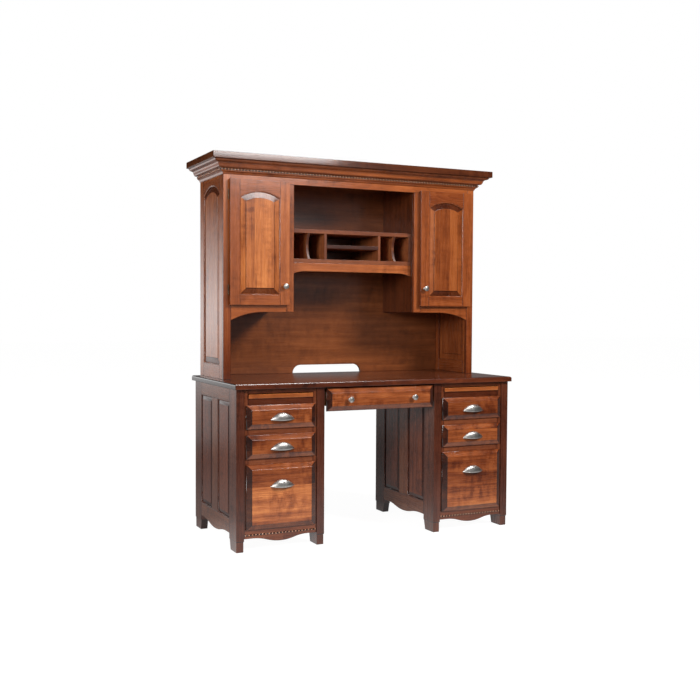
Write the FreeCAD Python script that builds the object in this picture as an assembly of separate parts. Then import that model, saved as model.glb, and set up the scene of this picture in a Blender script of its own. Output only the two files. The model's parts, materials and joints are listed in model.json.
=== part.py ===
import FreeCAD, Part
import math
import os

V = FreeCAD.Vector
UP = V(0, 0, 1)

# Desk: overall sizes
desk_height = 787.4
top_width = 1524.0
top_depth = 698.5
top_thickness = 25.4
top_edge_radius = 8.0
side_overhang = 10.7
front_overhang = 19.5
back_overhang = 31.0
knee_width = 609.6

# Pedestal posts with stepped feet
leg_width = 39.0
leg_depth = 101.6
foot_height = 48.0
foot_taper = 4.0
foot_inset = 2.0
foot_step = 4.0
foot_heel = 14.0

# Pedestal sides: rails, muntin and two raised panels
side_thickness = 22.0
side_top_rail = 64.0
side_panel_bottom = 143.0
side_muntin = 89.0
side_apron_end = 76.0
side_apron_drop = 21.0
side_bevel = 22.0

# Pedestal face frame, set back from the posts
frame_setback = 6.0
frame_thickness = 20.0
stile_width = 20.0
top_rail = 21.5
board_slot = 24.5
board_rail = 36.0
drawer_rail = 39.0
small_opening = 100.0
apron_top = 109.0
apron_end = 61.0
apron_drop = 21.5
apron_rope_z = 78.0
apron_rope_radius = 5.5
apron_flat = 46.0

# Pedestal back and the rail across the knee space
back_thickness = 12.0
back_inset = 5.0
knee_rail_height = 150.0
knee_rail_thickness = 19.0

# Drawers
front_thickness = 21.0
front_edge = 8.0
front_bevel = 23.0
front_step = 3.0
front_overlay = 7.0
front_side_reveal = 9.0
box_wall = 12.7
box_bottom = 6.0
box_bottom_lift = 8.0
box_back_gap = 65.0
box_floor_gap = 8.0
small_headroom = 12.0
file_headroom = 45.0

# Drawer slides: a fixed channel and the member that runs in it
cleat_height = 60.0
slide_gap = 13.2
channel_clearance = 1.2
channel_height = 40.0
channel_wall = 1.5
slide_back_gap = 85.0
member_setback = 20.0
slide_clearance = 0.4
file_slide_lift = 90.0

# Pull-out writing board and its wooden guides
board_thickness = 20.5
board_back_gap = 71.0
board_side_clearance = 1.0
board_clearance = 0.3
board_round = 4.0
guide_ledge = 24.0
guide_height = 20.0

# Pencil drawer over the knee space
pencil_height = 112.0
pencil_top_gap = 7.0
pencil_side_gap = 8.8
pencil_box_height = 70.0
pencil_back_gap = 175.0
pencil_box_drop = 17.0
pencil_slide_drop = 42.0
pencil_knob_spacing = 354.0

# Cup pulls and knobs
pull_width = 120.0
pull_height = 31.0
pull_reach = 24.0
pull_wall = 2.2
small_pull_lift = 45.0
file_pull_drop = 106.0
knob_diameter = 29.0
knob_length = 26.0
knob_base = 17.0
knob_neck = 11.0
knob_foot = 4.0
knob_flare = 5.0
knob_crown = 9.0

# Hutch case
hutch_width = 1432.8
hutch_depth = 381.0
hutch_back_inset = 1.5
hutch_height = 1068.6
hutch_side = 22.0
hutch_frame = 20.0
hutch_end_stile = 38.0
hutch_front_stile = 40.0
hutch_back_stile = 60.0
hutch_bottom_rail = 68.6
hutch_arch_spring = 151.0
hutch_arch_rise = 48.0
hutch_bevel = 33.0
hutch_back_thickness = 12.7
hutch_back_recess = 12.3
deck_thickness = 19.0
bay_width = 690.6
centre_stile = 41.0
case_top_rail = 98.0
cabinet_rail = 43.0
cabinet_height = 735.6
bracket_drop = 42.0
bracket_length = 178.0

# Cable cut-out in the hutch back
cutout_width = 408.0
cutout_height = 44.0

# Cabinet shelf on two cleats
shelf_lift = 287.0
shelf_thickness = 19.0
shelf_setback = 10.0
shelf_clearance = 1.0
shelf_cleat_width = 12.0
shelf_cleat_height = 16.0

# Organizer in the centre bay
organizer_setback = 34.0
organizer_drop = 313.0
organizer_height = 171.0
organizer_board = 20.0
organizer_divider = 13.0
organizer_inner = 155.0
organizer_outer = 248.0
organizer_mid_lift = 57.0
organizer_mid = 18.0
scallop_depth = 24.0
valance_height = 61.0
valance_rise = 18.0
valance_curve = 87.0
valance_thickness = 19.0

# Doors: arched frame, raised panel, wrap hinges
door_overlay = 10.0
door_gap = 2.4
door_thickness = 20.0
door_stile = 50.0
door_bottom_rail = 52.0
door_spring_drop = 86.0
door_arch_rise = 32.0
door_bevel = 33.0
knob_inset = 26.0
knob_lift = 95.0

# Tongue and groove of every raised panel
panel_tongue = 8.0
tongue_thickness = 6.0
tongue_recess = 7.0
field_recess = 1.5
field_step = 2.0
bevel_reveal = 0.8
groove_clearance = 0.4

# Hinges: leaf, knuckles and pin
hinge_height = 50.0
hinge_inset = 75.0
leaf_thickness = 1.0
leaf_width = 24.0
hinge_offset = 4.0
hinge_forward = 5.0
knuckle_radius = 3.5
knuckles = 3
pin_radius = 1.5
pin_clearance = 0.08
knuckle_gap = 0.3

# Crown moulding from its foot up: heights and reaches of lip, rope seat, ovolo, fillet, cove, brow and cap
crown_foot = 3.0
lip_rise = 14.0
lip_reach = 12.0
lip_hollow = 2.5
seat_rise = 15.0
seat_reach = 9.0
ovolo_rise = 9.0
ovolo_reach = 11.0
ovolo_swell = 2.5
fillet_rise = 2.0
fillet_reach = 1.5
cove_rise = 14.0
cove_reach = 10.5
cove_hollow = 3.0
brow_step = 2.0
brow_rise = 12.0
brow_reach = 13.0
brow_swell = 3.0
cap_reach = 12.0
cap_height = 32.0
cap_inside = 60.0
crown_rope_radius = 6.0

# Derived places
under_top = desk_height - top_thickness
field_inset = front_overhang + frame_setback - front_thickness
foremost = max(pull_reach, knob_length) - field_inset
y_top = foremost - (top_depth + foremost) / 2
y_leg = y_top + front_overhang
y_frame = y_leg + frame_setback
y_frame_back = y_frame + frame_thickness
y_field = y_frame - front_thickness
y_top_back = y_top + top_depth
y_leg_back = y_top_back - back_overhang
y_back = y_leg_back - back_inset - back_thickness
side_mid = (y_leg + y_leg_back) / 2
side_half = (y_leg_back - y_leg) / 2 - leg_depth
pedestal_width = top_width / 2 - side_overhang - knee_width / 2
pedestal_half = pedestal_width / 2
pedestal_x = knee_width / 2 + pedestal_half
leg_inner = pedestal_half - leg_width
opening_half = leg_inner - stile_width
front_half = leg_inner - front_side_reveal
side_panel_top = under_top - side_top_rail
board_floor = under_top - top_rail - board_slot
box_half = opening_half - slide_gap
box_depth = y_back - box_back_gap - y_frame
channel_length = y_back - slide_back_gap - y_frame_back
knee_half = knee_width / 2
pencil_depth = y_back - pencil_back_gap - y_frame

y_hutch_back = y_top_back - hutch_back_inset
y_hutch = y_hutch_back - hutch_depth
y_case = y_hutch + hutch_frame
y_panel_back = y_hutch_back - hutch_back_recess - hutch_back_thickness
hutch_half = hutch_width / 2
case_half = hutch_half - hutch_side
hutch_top = desk_height + hutch_height
bay_half = bay_width / 2
partition_half = bay_half + deck_thickness
door_left = bay_half + centre_stile
door_right = hutch_half - hutch_end_stile
cabinet_bottom = hutch_top - cabinet_height
cabinet_floor = cabinet_bottom + cabinet_rail
cabinet_ceiling = hutch_top - case_top_rail
y_door = y_hutch - door_gap - door_thickness
y_organizer = y_hutch + organizer_setback
organizer_top = hutch_top - organizer_drop
organizer_bottom = organizer_top - organizer_height
crown_rise = lip_rise + seat_rise + ovolo_rise + fillet_rise + cove_rise + brow_rise
rope_seat = crown_foot + lip_reach
crown_reach = rope_seat + seat_reach + ovolo_reach + fillet_reach + cove_reach + brow_step + brow_reach
cap_projection = crown_reach + cap_reach


def box(x0, x1, y0, y1, z0, z1):
    return Part.makeBox(x1 - x0, y1 - y0, z1 - z0, V(x0, y0, z0))


def export(name, solids):
    shape = solids[0] if len(solids) == 1 else Part.makeCompound(solids)
    shape.exportStep("parts/" + name + ".step")


def line(a, b):
    return Part.LineSegment(a, b).toShape()


def arc(a, middle, b):
    return Part.Arc(a, middle, b).toShape()


def polygon(points):
    return Part.Face(Part.makePolygon(points + [points[0]]))


def bend_middle(flat, end):
    """Middle of the arc in the XZ plane that leaves flat level and reaches end."""
    across = end.x - flat.x
    rise = end.z - flat.z
    turn = 2 * math.atan2(rise, abs(across))
    chord = math.hypot(across, rise) * math.sin(turn / 4) / math.sin(turn / 2)
    reach = math.copysign(chord * math.cos(turn / 4), across)
    return V(flat.x + reach, flat.y, flat.z + chord * math.sin(turn / 4))


def s_curve(a, b):
    """Two arcs from a to b, level at both ends."""
    middle = (a + b) * 0.5
    return [arc(a, bend_middle(a, middle), middle), arc(middle, bend_middle(b, middle), b)]


def drop_board(half, z_top, z_end, drop, flat, thickness):
    """Board across x = -half..half whose lower edge swells down to a central drop."""
    left = V(-half, 0, z_end)
    left_flat = V(-half + flat, 0, z_end)
    middle = V(0, 0, z_end - drop)
    right_flat = V(half - flat, 0, z_end)
    right = V(half, 0, z_end)
    edges = [line(left, left_flat)] + s_curve(left_flat, middle) + s_curve(middle, right_flat)
    edges.append(line(right_flat, right))
    edges.append(line(right, V(half, 0, z_top)))
    edges.append(line(V(half, 0, z_top), V(-half, 0, z_top)))
    edges.append(line(V(-half, 0, z_top), left))
    return Part.Face(Part.Wire(edges)).extrude(V(0, thickness, 0))


def arch_centre(half, spring, rise):
    radius = (half * half + rise * rise) / (2 * rise)
    return radius, spring + rise - radius


def panel_wire(half, z0, z1, rise, inset, y):
    """Outline of a panel drawn in by inset; a rise above zero arches its top."""
    h = half - inset
    low = z0 + inset
    a = V(-h, y, low)
    b = V(h, y, low)
    if rise > 0:
        radius, centre = arch_centre(half, z1, rise)
        shoulder = centre + math.sqrt((radius - inset) ** 2 - h * h)
        crest = V(0, y, centre + radius - inset)
    else:
        shoulder = z1 - inset
    c = V(h, y, shoulder)
    d = V(-h, y, shoulder)
    top = arc(c, crest, d) if rise > 0 else line(c, d)
    return Part.Wire([line(a, b), line(b, c), top, line(d, a)])


def panel_slab(half, z0, z1, rise, inset, y0, y1):
    return Part.Face(panel_wire(half, z0, z1, rise, inset, y0)).extrude(V(0, y1 - y0, 0))


def raised_panel(half, z0, z1, rise, bevel):
    """Panel that faces -Y behind a frame whose face is y = 0; its field stands a step above its bevel."""
    back = tongue_recess + tongue_thickness
    brow = field_recess + field_step
    tongue = panel_slab(half, z0, z1, rise, -panel_tongue, tongue_recess, back)
    foot = panel_wire(half, z0, z1, rise, bevel_reveal, tongue_recess)
    slope = Part.makeLoft([foot, panel_wire(half, z0, z1, rise, bevel, brow)], True, True)
    field = panel_slab(half, z0, z1, rise, bevel, field_recess, brow)
    return tongue.fuse([slope, field]).removeSplitter()


def panel_groove(half, z0, z1, rise):
    """The room that a raised panel's tongue takes in its frame."""
    grow = -panel_tongue - groove_clearance
    y0 = tongue_recess - groove_clearance
    y1 = tongue_recess + tongue_thickness + groove_clearance
    return panel_slab(half, z0, z1, rise, grow, y0, y1)


def arched_rail(half, spring, rise, z_top, thickness):
    """Rail whose lower edge is an arch over x = -half..half."""
    a = V(-half, 0, spring)
    b = V(half, 0, spring)
    c = V(half, 0, z_top)
    d = V(-half, 0, z_top)
    edges = [arc(a, V(0, 0, spring + rise), b), line(b, c), line(c, d), line(d, a)]
    return Part.Face(Part.Wire(edges)).extrude(V(0, thickness, 0))


def facing(shape, side, x_face, y_mid):
    """Turn a piece that faces -Y to face -X (side -1) or +X (side 1)."""
    turned = shape.copy()
    turned.rotate(V(0, 0, 0), UP, 90 * side)
    turned.translate(V(x_face, y_mid, 0))
    return turned


def moved(shape, x=0.0, y=0.0, z=0.0):
    copy = shape.copy()
    copy.translate(V(x, y, z))
    return copy


def desktop():
    board = box(-top_width / 2, top_width / 2, y_top, y_top_back, under_top, desk_height)
    edges = [e for e in board.Edges if e.BoundBox.ZMin > desk_height - top_edge_radius]
    return board.makeFillet(top_edge_radius, edges)


def leg(x0, y_face, rearward):
    """Post whose foot steps back under its face and narrows down its heel."""
    shoulder = foot_height + foot_taper

    def section(inset, step, z):
        heel = foot_heel * (1 - z / shoulder)
        left, right = x0 + inset, x0 + leg_width - inset
        ys = [y_face + rearward * step, y_face + rearward * (leg_depth - heel)]
        front, back = min(ys), max(ys)
        points = [V(left, front, z), V(right, front, z), V(right, back, z), V(left, back, z)]
        return Part.makePolygon(points + [points[0]])

    ankle = section(foot_inset, foot_step, foot_height)
    foot = Part.makeLoft([section(foot_inset, foot_step, 0), ankle], True, True)
    taper = Part.makeLoft([ankle, section(0, 0, shoulder)], True, True)
    post = Part.Face(section(0, 0, shoulder)).extrude(V(0, 0, under_top - shoulder))
    return post.fuse([taper, foot]).removeSplitter()


def side_panels():
    """Half width and middle of each of the two side panels, in the side's own x."""
    half = (side_half - side_muntin / 2) / 2
    centre = side_muntin / 2 + half
    return half, [-centre, centre]


def side_grooves():
    half, centres = side_panels()
    groove = panel_groove(half, side_panel_bottom, side_panel_top, 0)
    return [moved(groove, x) for x in centres]


def side_rails():
    """Top rail, shaped bottom rail and muntin of one pedestal side."""
    top = box(-side_half, side_half, 0, side_thickness, side_panel_top, under_top)
    bottom = drop_board(side_half, side_panel_bottom, side_apron_end, side_apron_drop,
                        apron_flat, side_thickness)
    half = side_muntin / 2
    muntin = box(-half, half, 0, side_thickness, side_panel_bottom, side_panel_top)
    return [piece.cut(side_grooves()) for piece in (top, bottom, muntin)]


def side_fields():
    half, centres = side_panels()
    panel = raised_panel(half, side_panel_bottom, side_panel_top, 0, side_bevel)
    return [moved(panel, x) for x in centres]


def both_sides(pieces, cx):
    placed = []
    for side in (-1, 1):
        x_face = cx + side * pedestal_half
        placed += [facing(piece, side, x_face, side_mid) for piece in pieces]
    return placed


def pedestal_legs(cx):
    grooves = both_sides(side_grooves(), cx)
    legs = []
    for x0 in (cx - pedestal_half, cx + leg_inner):
        for y_face, rearward in ((y_leg, 1), (y_leg_back, -1)):
            legs.append(leg(x0, y_face, rearward).cut(grooves))
    return legs


def drawer_openings():
    """Name, floor and ceiling of the three drawer openings, from the top down."""
    top_1 = board_floor - board_rail
    top_2 = top_1 - small_opening - drawer_rail
    top_3 = top_2 - small_opening - drawer_rail
    return [("upper", top_1 - small_opening, top_1),
            ("middle", top_2 - small_opening, top_2),
            ("file", apron_top, top_3)]


def face_frame(cx):
    pieces = []
    for x0 in (cx - leg_inner, cx + opening_half):
        pieces.append(box(x0, x0 + stile_width, y_frame, y_frame_back, apron_top, under_top))
    openings = drawer_openings()
    spans = [(under_top - top_rail, under_top), (openings[0][2], board_floor)]
    for upper, lower in zip(openings, openings[1:]):
        spans.append((lower[2], upper[1]))
    for z0, z1 in spans:
        pieces.append(box(cx - opening_half, cx + opening_half, y_frame, y_frame_back, z0, z1))
    apron = drop_board(leg_inner, apron_top, apron_end, apron_drop, apron_flat, frame_thickness)
    pieces.append(moved(apron, cx, y_frame))
    return pieces


def half_round(radius, length):
    """Half-round strip along x with its flat on y = 0, bulging to -Y."""
    a = V(0, 0, -radius)
    b = V(0, 0, radius)
    face = Part.Face(Part.Wire([arc(a, V(0, -radius, 0), b), line(b, a)]))
    return face.extrude(V(length, 0, 0))


def apron_rope(cx):
    return moved(half_round(apron_rope_radius, 2 * leg_inner), cx - leg_inner, y_frame, apron_rope_z)


def pedestal_back(cx):
    return box(cx - leg_inner, cx + leg_inner, y_back, y_back + back_thickness, side_apron_end, under_top)


def slide_height(name, floor):
    return floor + (file_slide_lift if name == "file" else small_opening / 2)


def mirrored_pair(piece):
    return [piece, piece.mirror(V(0, 0, 0), V(1, 0, 0))]


def pedestal_guides(cx):
    """Cleats behind the posts for the slides, and the writing board's guides."""
    pieces = []
    for name, floor, ceiling in drawer_openings():
        z = slide_height(name, floor)
        half = cleat_height / 2
        pieces += mirrored_pair(box(opening_half, leg_inner, y_frame_back, y_back, z - half, z + half))
    ledge = opening_half - guide_ledge
    slot_top = board_floor + board_slot
    spans = [(ledge, board_floor - guide_height, board_floor)]
    spans += [(opening_half, board_floor, slot_top), (ledge, slot_top, under_top)]
    for x0, z0, z1 in spans:
        pieces += mirrored_pair(box(x0, leg_inner, y_frame_back, y_back, z0, z1))
    return [moved(piece, cx) for piece in pieces]


def slide_channels(half, z):
    """Fixed channels on the faces x = -half and x = half, open towards the drawer."""
    outer = channel_height / 2
    inner = outer - channel_wall
    mouth = half - slide_gap + channel_clearance
    bar = box(mouth, half, 0, channel_length, z - outer, z + outer)
    room = box(mouth, half - channel_wall, 0, channel_length, z - inner, z + inner)
    return mirrored_pair(moved(bar.cut(room), 0, y_frame_back))


def slide_members(half, z):
    """Members on a drawer's sides that run in the channels on x = -half and x = half."""
    outer = channel_height / 2 - channel_wall - slide_clearance
    tip = half - channel_wall - slide_clearance
    length = channel_length - member_setback
    member = box(half - slide_gap, tip, 0, length, z - outer, z + outer)
    return mirrored_pair(moved(member, 0, y_frame_back))


def raised_front(half, z0, z1):
    """Drawer front with a bevel and a step round its field; its back lies on the face frame."""
    rim = y_frame - front_edge
    brow = y_field + front_step
    slab = box(-half, half, rim, y_frame, z0, z1)
    foot = panel_wire(half, z0, z1, 0, 0, rim)
    slope = Part.makeLoft([foot, panel_wire(half, z0, z1, 0, front_bevel, brow)], True, True)
    field = panel_slab(half, z0, z1, 0, front_bevel, y_field, brow)
    return slab.fuse([slope, field]).removeSplitter()


def drawer_box(half, depth, z0, height):
    """Front, back, two sides and bottom of a drawer box."""
    inner = half - box_wall
    back = y_frame + depth
    z1 = z0 + height
    floor = z0 + box_bottom_lift
    pieces = mirrored_pair(box(inner, half, y_frame, back, z0, z1))
    pieces.append(box(-inner, inner, y_frame, y_frame + box_wall, z0, z1))
    pieces.append(box(-inner, inner, back - box_wall, back, z0, z1))
    pieces.append(box(-inner, inner, y_frame + box_wall, back - box_wall, floor, floor + box_bottom))
    return pieces


def pull_dome(half, reach, height):
    """Dome turned about a level axis behind y = 0, with its mouth on z = 0."""
    behind = (height * height - reach * reach) / (2 * reach)
    left = V(-half, 0, 0)
    right = V(half, 0, 0)
    face = Part.Face(Part.Wire([arc(left, V(0, -reach, 0), right), line(right, left)]))
    turned = face.revolve(V(0, behind, 0), V(-1, 0, 0), 90)
    return turned.common(box(-half, half, -reach, 0, 0, height))


def cup_pull():
    """Cup-shaped shell open below, its rim on y = 0."""
    half = pull_width / 2
    hollow = pull_dome(half - pull_wall, pull_reach - pull_wall, pull_height - pull_wall)
    return pull_dome(half, pull_reach, pull_height).cut(hollow)


def knob():
    """Turned knob with its foot on y = 0, pointing to -Y."""
    head = knob_diameter / 2
    foot = knob_base / 2
    neck = knob_neck / 2
    brow = knob_crown - knob_length
    points = [V(0, 0, 0), V(foot, 0, 0), V(foot, -knob_foot, 0), V(neck, -knob_foot, 0)]
    points += [V(neck, brow + knob_flare, 0), V(head, brow, 0)]
    edges = [line(a, b) for a, b in zip(points, points[1:])]
    tip = V(0, -knob_length, 0)
    radius, centre = arch_centre(head, -brow, knob_crown)
    turn = math.asin(head / radius) / 2
    shoulder = V(radius * math.sin(turn), -centre - radius * math.cos(turn), 0)
    edges += [arc(points[-1], shoulder, tip), line(tip, points[0])]
    return Part.Face(Part.Wire(edges)).revolve(V(0, 0, 0), V(0, 1, 0), 360)


def export_drawer(prefix, cx, name, floor, ceiling):
    is_file = name == "file"
    z = slide_height(name, floor)
    z0 = floor - front_overlay
    z1 = ceiling + front_overlay
    box_z = floor + box_floor_gap
    box_height = ceiling - (file_headroom if is_file else small_headroom) - box_z
    pull_z = z1 - file_pull_drop if is_file else z0 + small_pull_lift
    node = prefix + "_" + name + "_drawer"
    export(node + "_front", [moved(raised_front(front_half, z0, z1), cx)])
    export(node + "_box", [moved(piece, cx) for piece in drawer_box(box_half, box_depth, box_z, box_height)])
    export(node + "_pull", [moved(cup_pull(), cx, y_field, pull_z)])
    export(node + "_slides", [moved(piece, cx) for piece in slide_members(opening_half, z)])


def writing_board(cx):
    half = opening_half - board_side_clearance
    z0 = board_floor + board_clearance
    back = y_back - board_back_gap
    board = box(cx - half, cx + half, y_leg, back, z0, z0 + board_thickness)
    edges = [e for e in board.Edges if e.BoundBox.YMax < y_leg + board_round and e.BoundBox.XLength > half]
    return board.makeFillet(board_round, edges)


def pedestals():
    centres = [-pedestal_x, pedestal_x]
    export("pedestal_legs", [piece for cx in centres for piece in pedestal_legs(cx)])
    export("pedestal_side_rails", [piece for cx in centres for piece in both_sides(side_rails(), cx)])
    export("pedestal_side_panels", [piece for cx in centres for piece in both_sides(side_fields(), cx)])
    export("pedestal_face_frames", [piece for cx in centres for piece in face_frame(cx)])
    export("pedestal_backs", [pedestal_back(cx) for cx in centres])
    export("slide_cleats", [piece for cx in centres for piece in pedestal_guides(cx)])
    channels = slide_channels(knee_half, pencil_slide_z())
    for cx in centres:
        for name, floor, ceiling in drawer_openings():
            pair = slide_channels(opening_half, slide_height(name, floor))
            channels += [moved(piece, cx) for piece in pair]
    export("slide_channels", channels)
    for prefix, cx in zip(("left", "right"), centres):
        export(prefix + "_writing_board", [writing_board(cx)])
        for name, floor, ceiling in drawer_openings():
            export_drawer(prefix, cx, name, floor, ceiling)


def pencil_slide_z():
    return under_top - pencil_slide_drop


def pencil_drawer():
    z1 = under_top - pencil_top_gap
    z0 = z1 - pencil_height
    export("pencil_drawer_front", [raised_front(knee_half - pencil_side_gap, z0, z1)])
    half = knee_half - slide_gap
    box_z = z1 - pencil_box_drop - pencil_box_height
    export("pencil_drawer_box", drawer_box(half, pencil_depth, box_z, pencil_box_height))
    places = (-pencil_knob_spacing / 2, pencil_knob_spacing / 2)
    export("pencil_drawer_knobs", [moved(knob(), x, y_field, (z0 + z1) / 2) for x in places])
    members = slide_members(knee_half, pencil_slide_z())
    reach = box(-knee_half, knee_half, y_frame, y_frame + pencil_depth, 0, under_top)
    export("pencil_drawer_slides", [piece.common(reach) for piece in members])


def knee_rail():
    y1 = y_back + back_thickness
    return box(-knee_half, knee_half, y1 - knee_rail_thickness, y1, under_top - knee_rail_height, under_top)


def hutch_side_opening():
    """Half width, middle y, floor, spring of the arched opening in a hutch side."""
    y0 = y_case + hutch_front_stile
    y1 = y_hutch_back - hutch_back_stile
    floor = desk_height + hutch_bottom_rail
    return (y1 - y0) / 2, (y0 + y1) / 2, floor, hutch_top - hutch_arch_spring


def hutch_side_frame(side):
    half, middle, floor, spring = hutch_side_opening()
    x_face = side * hutch_half
    x0 = min(x_face, x_face - side * hutch_side)
    x1 = x0 + hutch_side
    y0 = y_case + hutch_front_stile
    y1 = y_hutch_back - hutch_back_stile
    pieces = [box(x0, x1, y_case, y0, desk_height, hutch_top)]
    pieces.append(box(x0, x1, y1, y_hutch_back, desk_height, hutch_top))
    pieces.append(box(x0, x1, y0, y1, desk_height, floor))
    rail = arched_rail(half, spring, hutch_arch_rise, hutch_top, hutch_side)
    pieces.append(facing(rail, side, x_face, middle))
    groove = facing(panel_groove(half, floor, spring, hutch_arch_rise), side, x_face, middle)
    return [piece.cut(groove) for piece in pieces]


def hutch_side_panel(side):
    half, middle, floor, spring = hutch_side_opening()
    panel = raised_panel(half, floor, spring, hutch_arch_rise, hutch_bevel)
    return facing(panel, side, side * hutch_half, middle)


def bracket_rail():
    """Rail under the right cabinet, swept down to a bracket at the end stile."""
    level = V(door_right - bracket_length, 0, cabinet_bottom)
    tip = V(door_right, 0, cabinet_bottom - bracket_drop)
    start = V(door_left, 0, cabinet_bottom)
    edges = [line(start, level), arc(level, bend_middle(level, tip), tip)]
    edges.append(line(tip, V(door_right, 0, cabinet_floor)))
    edges.append(line(V(door_right, 0, cabinet_floor), V(door_left, 0, cabinet_floor)))
    edges.append(line(V(door_left, 0, cabinet_floor), start))
    face = Part.Face(Part.Wire(edges))
    return moved(face.extrude(V(0, hutch_frame, 0)), 0, y_hutch)


def hutch_face_frame():
    pieces = mirrored_pair(box(door_right, hutch_half, y_hutch, y_case, desk_height, hutch_top))
    pieces += mirrored_pair(box(bay_half, door_left, y_hutch, y_case, cabinet_bottom, cabinet_ceiling))
    pieces.append(box(-door_right, door_right, y_hutch, y_case, cabinet_ceiling, hutch_top))
    pieces += mirrored_pair(bracket_rail())
    return pieces


def hutch_carcass():
    """Partitions beside the centre bay, cabinet floors and the case top."""
    deck = hutch_top - deck_thickness
    pieces = mirrored_pair(box(bay_half, partition_half, y_case, y_panel_back, cabinet_bottom, deck))
    pieces += mirrored_pair(box(partition_half, case_half, y_case, y_panel_back,
                                cabinet_floor - deck_thickness, cabinet_floor))
    pieces.append(box(-case_half, case_half, y_case, y_panel_back, deck, hutch_top))
    return pieces


def hutch_back():
    """Back panel with a round-shouldered cable cut-out on the desktop."""
    y1 = y_panel_back + hutch_back_thickness
    panel = box(-case_half, case_half, y_panel_back, y1, desk_height, hutch_top)
    half = cutout_width / 2
    crest = half - cutout_height
    bend = cutout_height * math.sin(math.pi / 4)

    def place(x, rise):
        return V(x, y_panel_back, desk_height + rise)

    left = arc(place(-half, 0), place(-crest - bend, bend), place(-crest, cutout_height))
    right = arc(place(crest, cutout_height), place(crest + bend, bend), place(half, 0))
    top = line(place(-crest, cutout_height), place(crest, cutout_height))
    wire = Part.Wire([left, top, right, line(place(half, 0), place(-half, 0))])
    return panel.cut(Part.Face(wire).extrude(V(0, hutch_back_thickness, 0)))


def cabinet_shelves():
    z0 = cabinet_floor + shelf_lift
    y0 = y_case + shelf_setback
    shelf = box(partition_half + shelf_clearance, case_half - shelf_clearance, y0,
                y_panel_back - shelf_clearance, z0, z0 + shelf_thickness)
    pieces = mirrored_pair(shelf)
    for x0 in (partition_half, case_half - shelf_cleat_width):
        cleat = box(x0, x0 + shelf_cleat_width, y0, y_panel_back, z0 - shelf_cleat_height, z0)
        pieces += mirrored_pair(cleat)
    return pieces


def organizer_shelves():
    floor = organizer_bottom + organizer_board
    ceiling = organizer_top - organizer_board
    mid = floor + organizer_mid_lift
    inner = organizer_inner - organizer_divider / 2
    spans = [(bay_half, organizer_bottom, floor), (bay_half, ceiling, organizer_top)]
    spans.append((inner, mid, mid + organizer_mid))
    return [box(-half, half, y_organizer, y_panel_back, z0, z1) for half, z0, z1 in spans]


def scalloped_divider():
    """Divider whose front edge is hollowed in an arc."""
    z0 = organizer_bottom + organizer_board
    z1 = organizer_top - organizer_board
    x0 = organizer_outer - organizer_divider / 2
    a = V(x0, y_organizer, z0)
    b = V(x0, y_organizer, z1)
    hollow = V(x0, y_organizer + scallop_depth, (z0 + z1) / 2)
    c = V(x0, y_panel_back, z1)
    d = V(x0, y_panel_back, z0)
    wire = Part.Wire([arc(a, hollow, b), line(b, c), line(c, d), line(d, a)])
    return Part.Face(wire).extrude(V(organizer_divider, 0, 0))


def organizer_dividers():
    z0 = organizer_bottom + organizer_board
    z1 = organizer_top - organizer_board
    inner = organizer_inner - organizer_divider / 2
    pieces = mirrored_pair(box(inner, inner + organizer_divider, y_organizer, y_panel_back, z0, z1))
    pieces += mirrored_pair(scalloped_divider())
    pieces += mirrored_pair(box(bay_half - organizer_divider, bay_half, y_organizer, y_panel_back, z0, z1))
    return pieces


def valance():
    z0 = organizer_bottom - valance_height
    level = z0 + valance_rise
    a = V(-bay_half, 0, z0)
    b = V(-bay_half + valance_curve, 0, level)
    c = V(-b.x, 0, level)
    d = V(bay_half, 0, z0)
    edges = [arc(a, bend_middle(b, a), b), line(b, c), arc(c, bend_middle(c, d), d)]
    edges.append(line(d, V(bay_half, 0, organizer_bottom)))
    edges.append(line(V(bay_half, 0, organizer_bottom), V(-bay_half, 0, organizer_bottom)))
    edges.append(line(V(-bay_half, 0, organizer_bottom), a))
    board = Part.Face(Part.Wire(edges)).extrude(V(0, valance_thickness, 0))
    return moved(board, 0, y_organizer)


def bowed(a, b, bow):
    """Arc in the XZ plane from a to b whose middle stands bow to the left of the chord."""
    left = V(a.z - b.z, 0, b.x - a.x).normalize()
    return arc(a, (a + b) * 0.5 + left * bow, b)


def crown_profile():
    """Cross-section of the crown: x is the reach from the case, z the height over its foot."""
    lip = V(rope_seat, 0, lip_rise)
    seat = lip + V(0, 0, seat_rise)
    ovolo_foot = seat + V(seat_reach, 0, 0)
    ovolo_top = ovolo_foot + V(ovolo_reach, 0, ovolo_rise)
    fillet = ovolo_top + V(0, 0, fillet_rise)
    cove_foot = fillet + V(fillet_reach, 0, 0)
    cove_top = cove_foot + V(cove_reach, 0, cove_rise)
    brow_foot = cove_top + V(brow_step, 0, 0)
    brow_top = brow_foot + V(brow_reach, 0, brow_rise)
    top = V(0, 0, brow_top.z)
    foot = V(crown_foot, 0, 0)
    edges = [line(top, brow_top), bowed(brow_top, brow_foot, brow_swell), line(brow_foot, cove_top)]
    edges += [bowed(cove_top, cove_foot, -cove_hollow), line(cove_foot, fillet)]
    edges += [line(fillet, ovolo_top), bowed(ovolo_top, ovolo_foot, ovolo_swell), line(ovolo_foot, seat)]
    edges += [line(seat, lip), bowed(lip, foot, -lip_hollow), line(foot, V(0, 0, 0)), line(V(0, 0, 0), top)]
    return Part.Wire(edges)


def cap_profile():
    z1 = crown_rise + cap_height
    points = [V(-cap_inside, 0, crown_rise), V(cap_projection, 0, crown_rise)]
    points += [V(cap_projection, 0, z1), V(-cap_inside, 0, z1)]
    return Part.makePolygon(points + [points[0]])


def rope_profile():
    middle = V(rope_seat, 0, lip_rise + seat_rise / 2)
    a = middle - V(0, 0, crown_rope_radius)
    b = middle + V(0, 0, crown_rope_radius)
    return Part.Wire([arc(a, middle + V(crown_rope_radius, 0, 0), b), line(b, a)])


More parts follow.
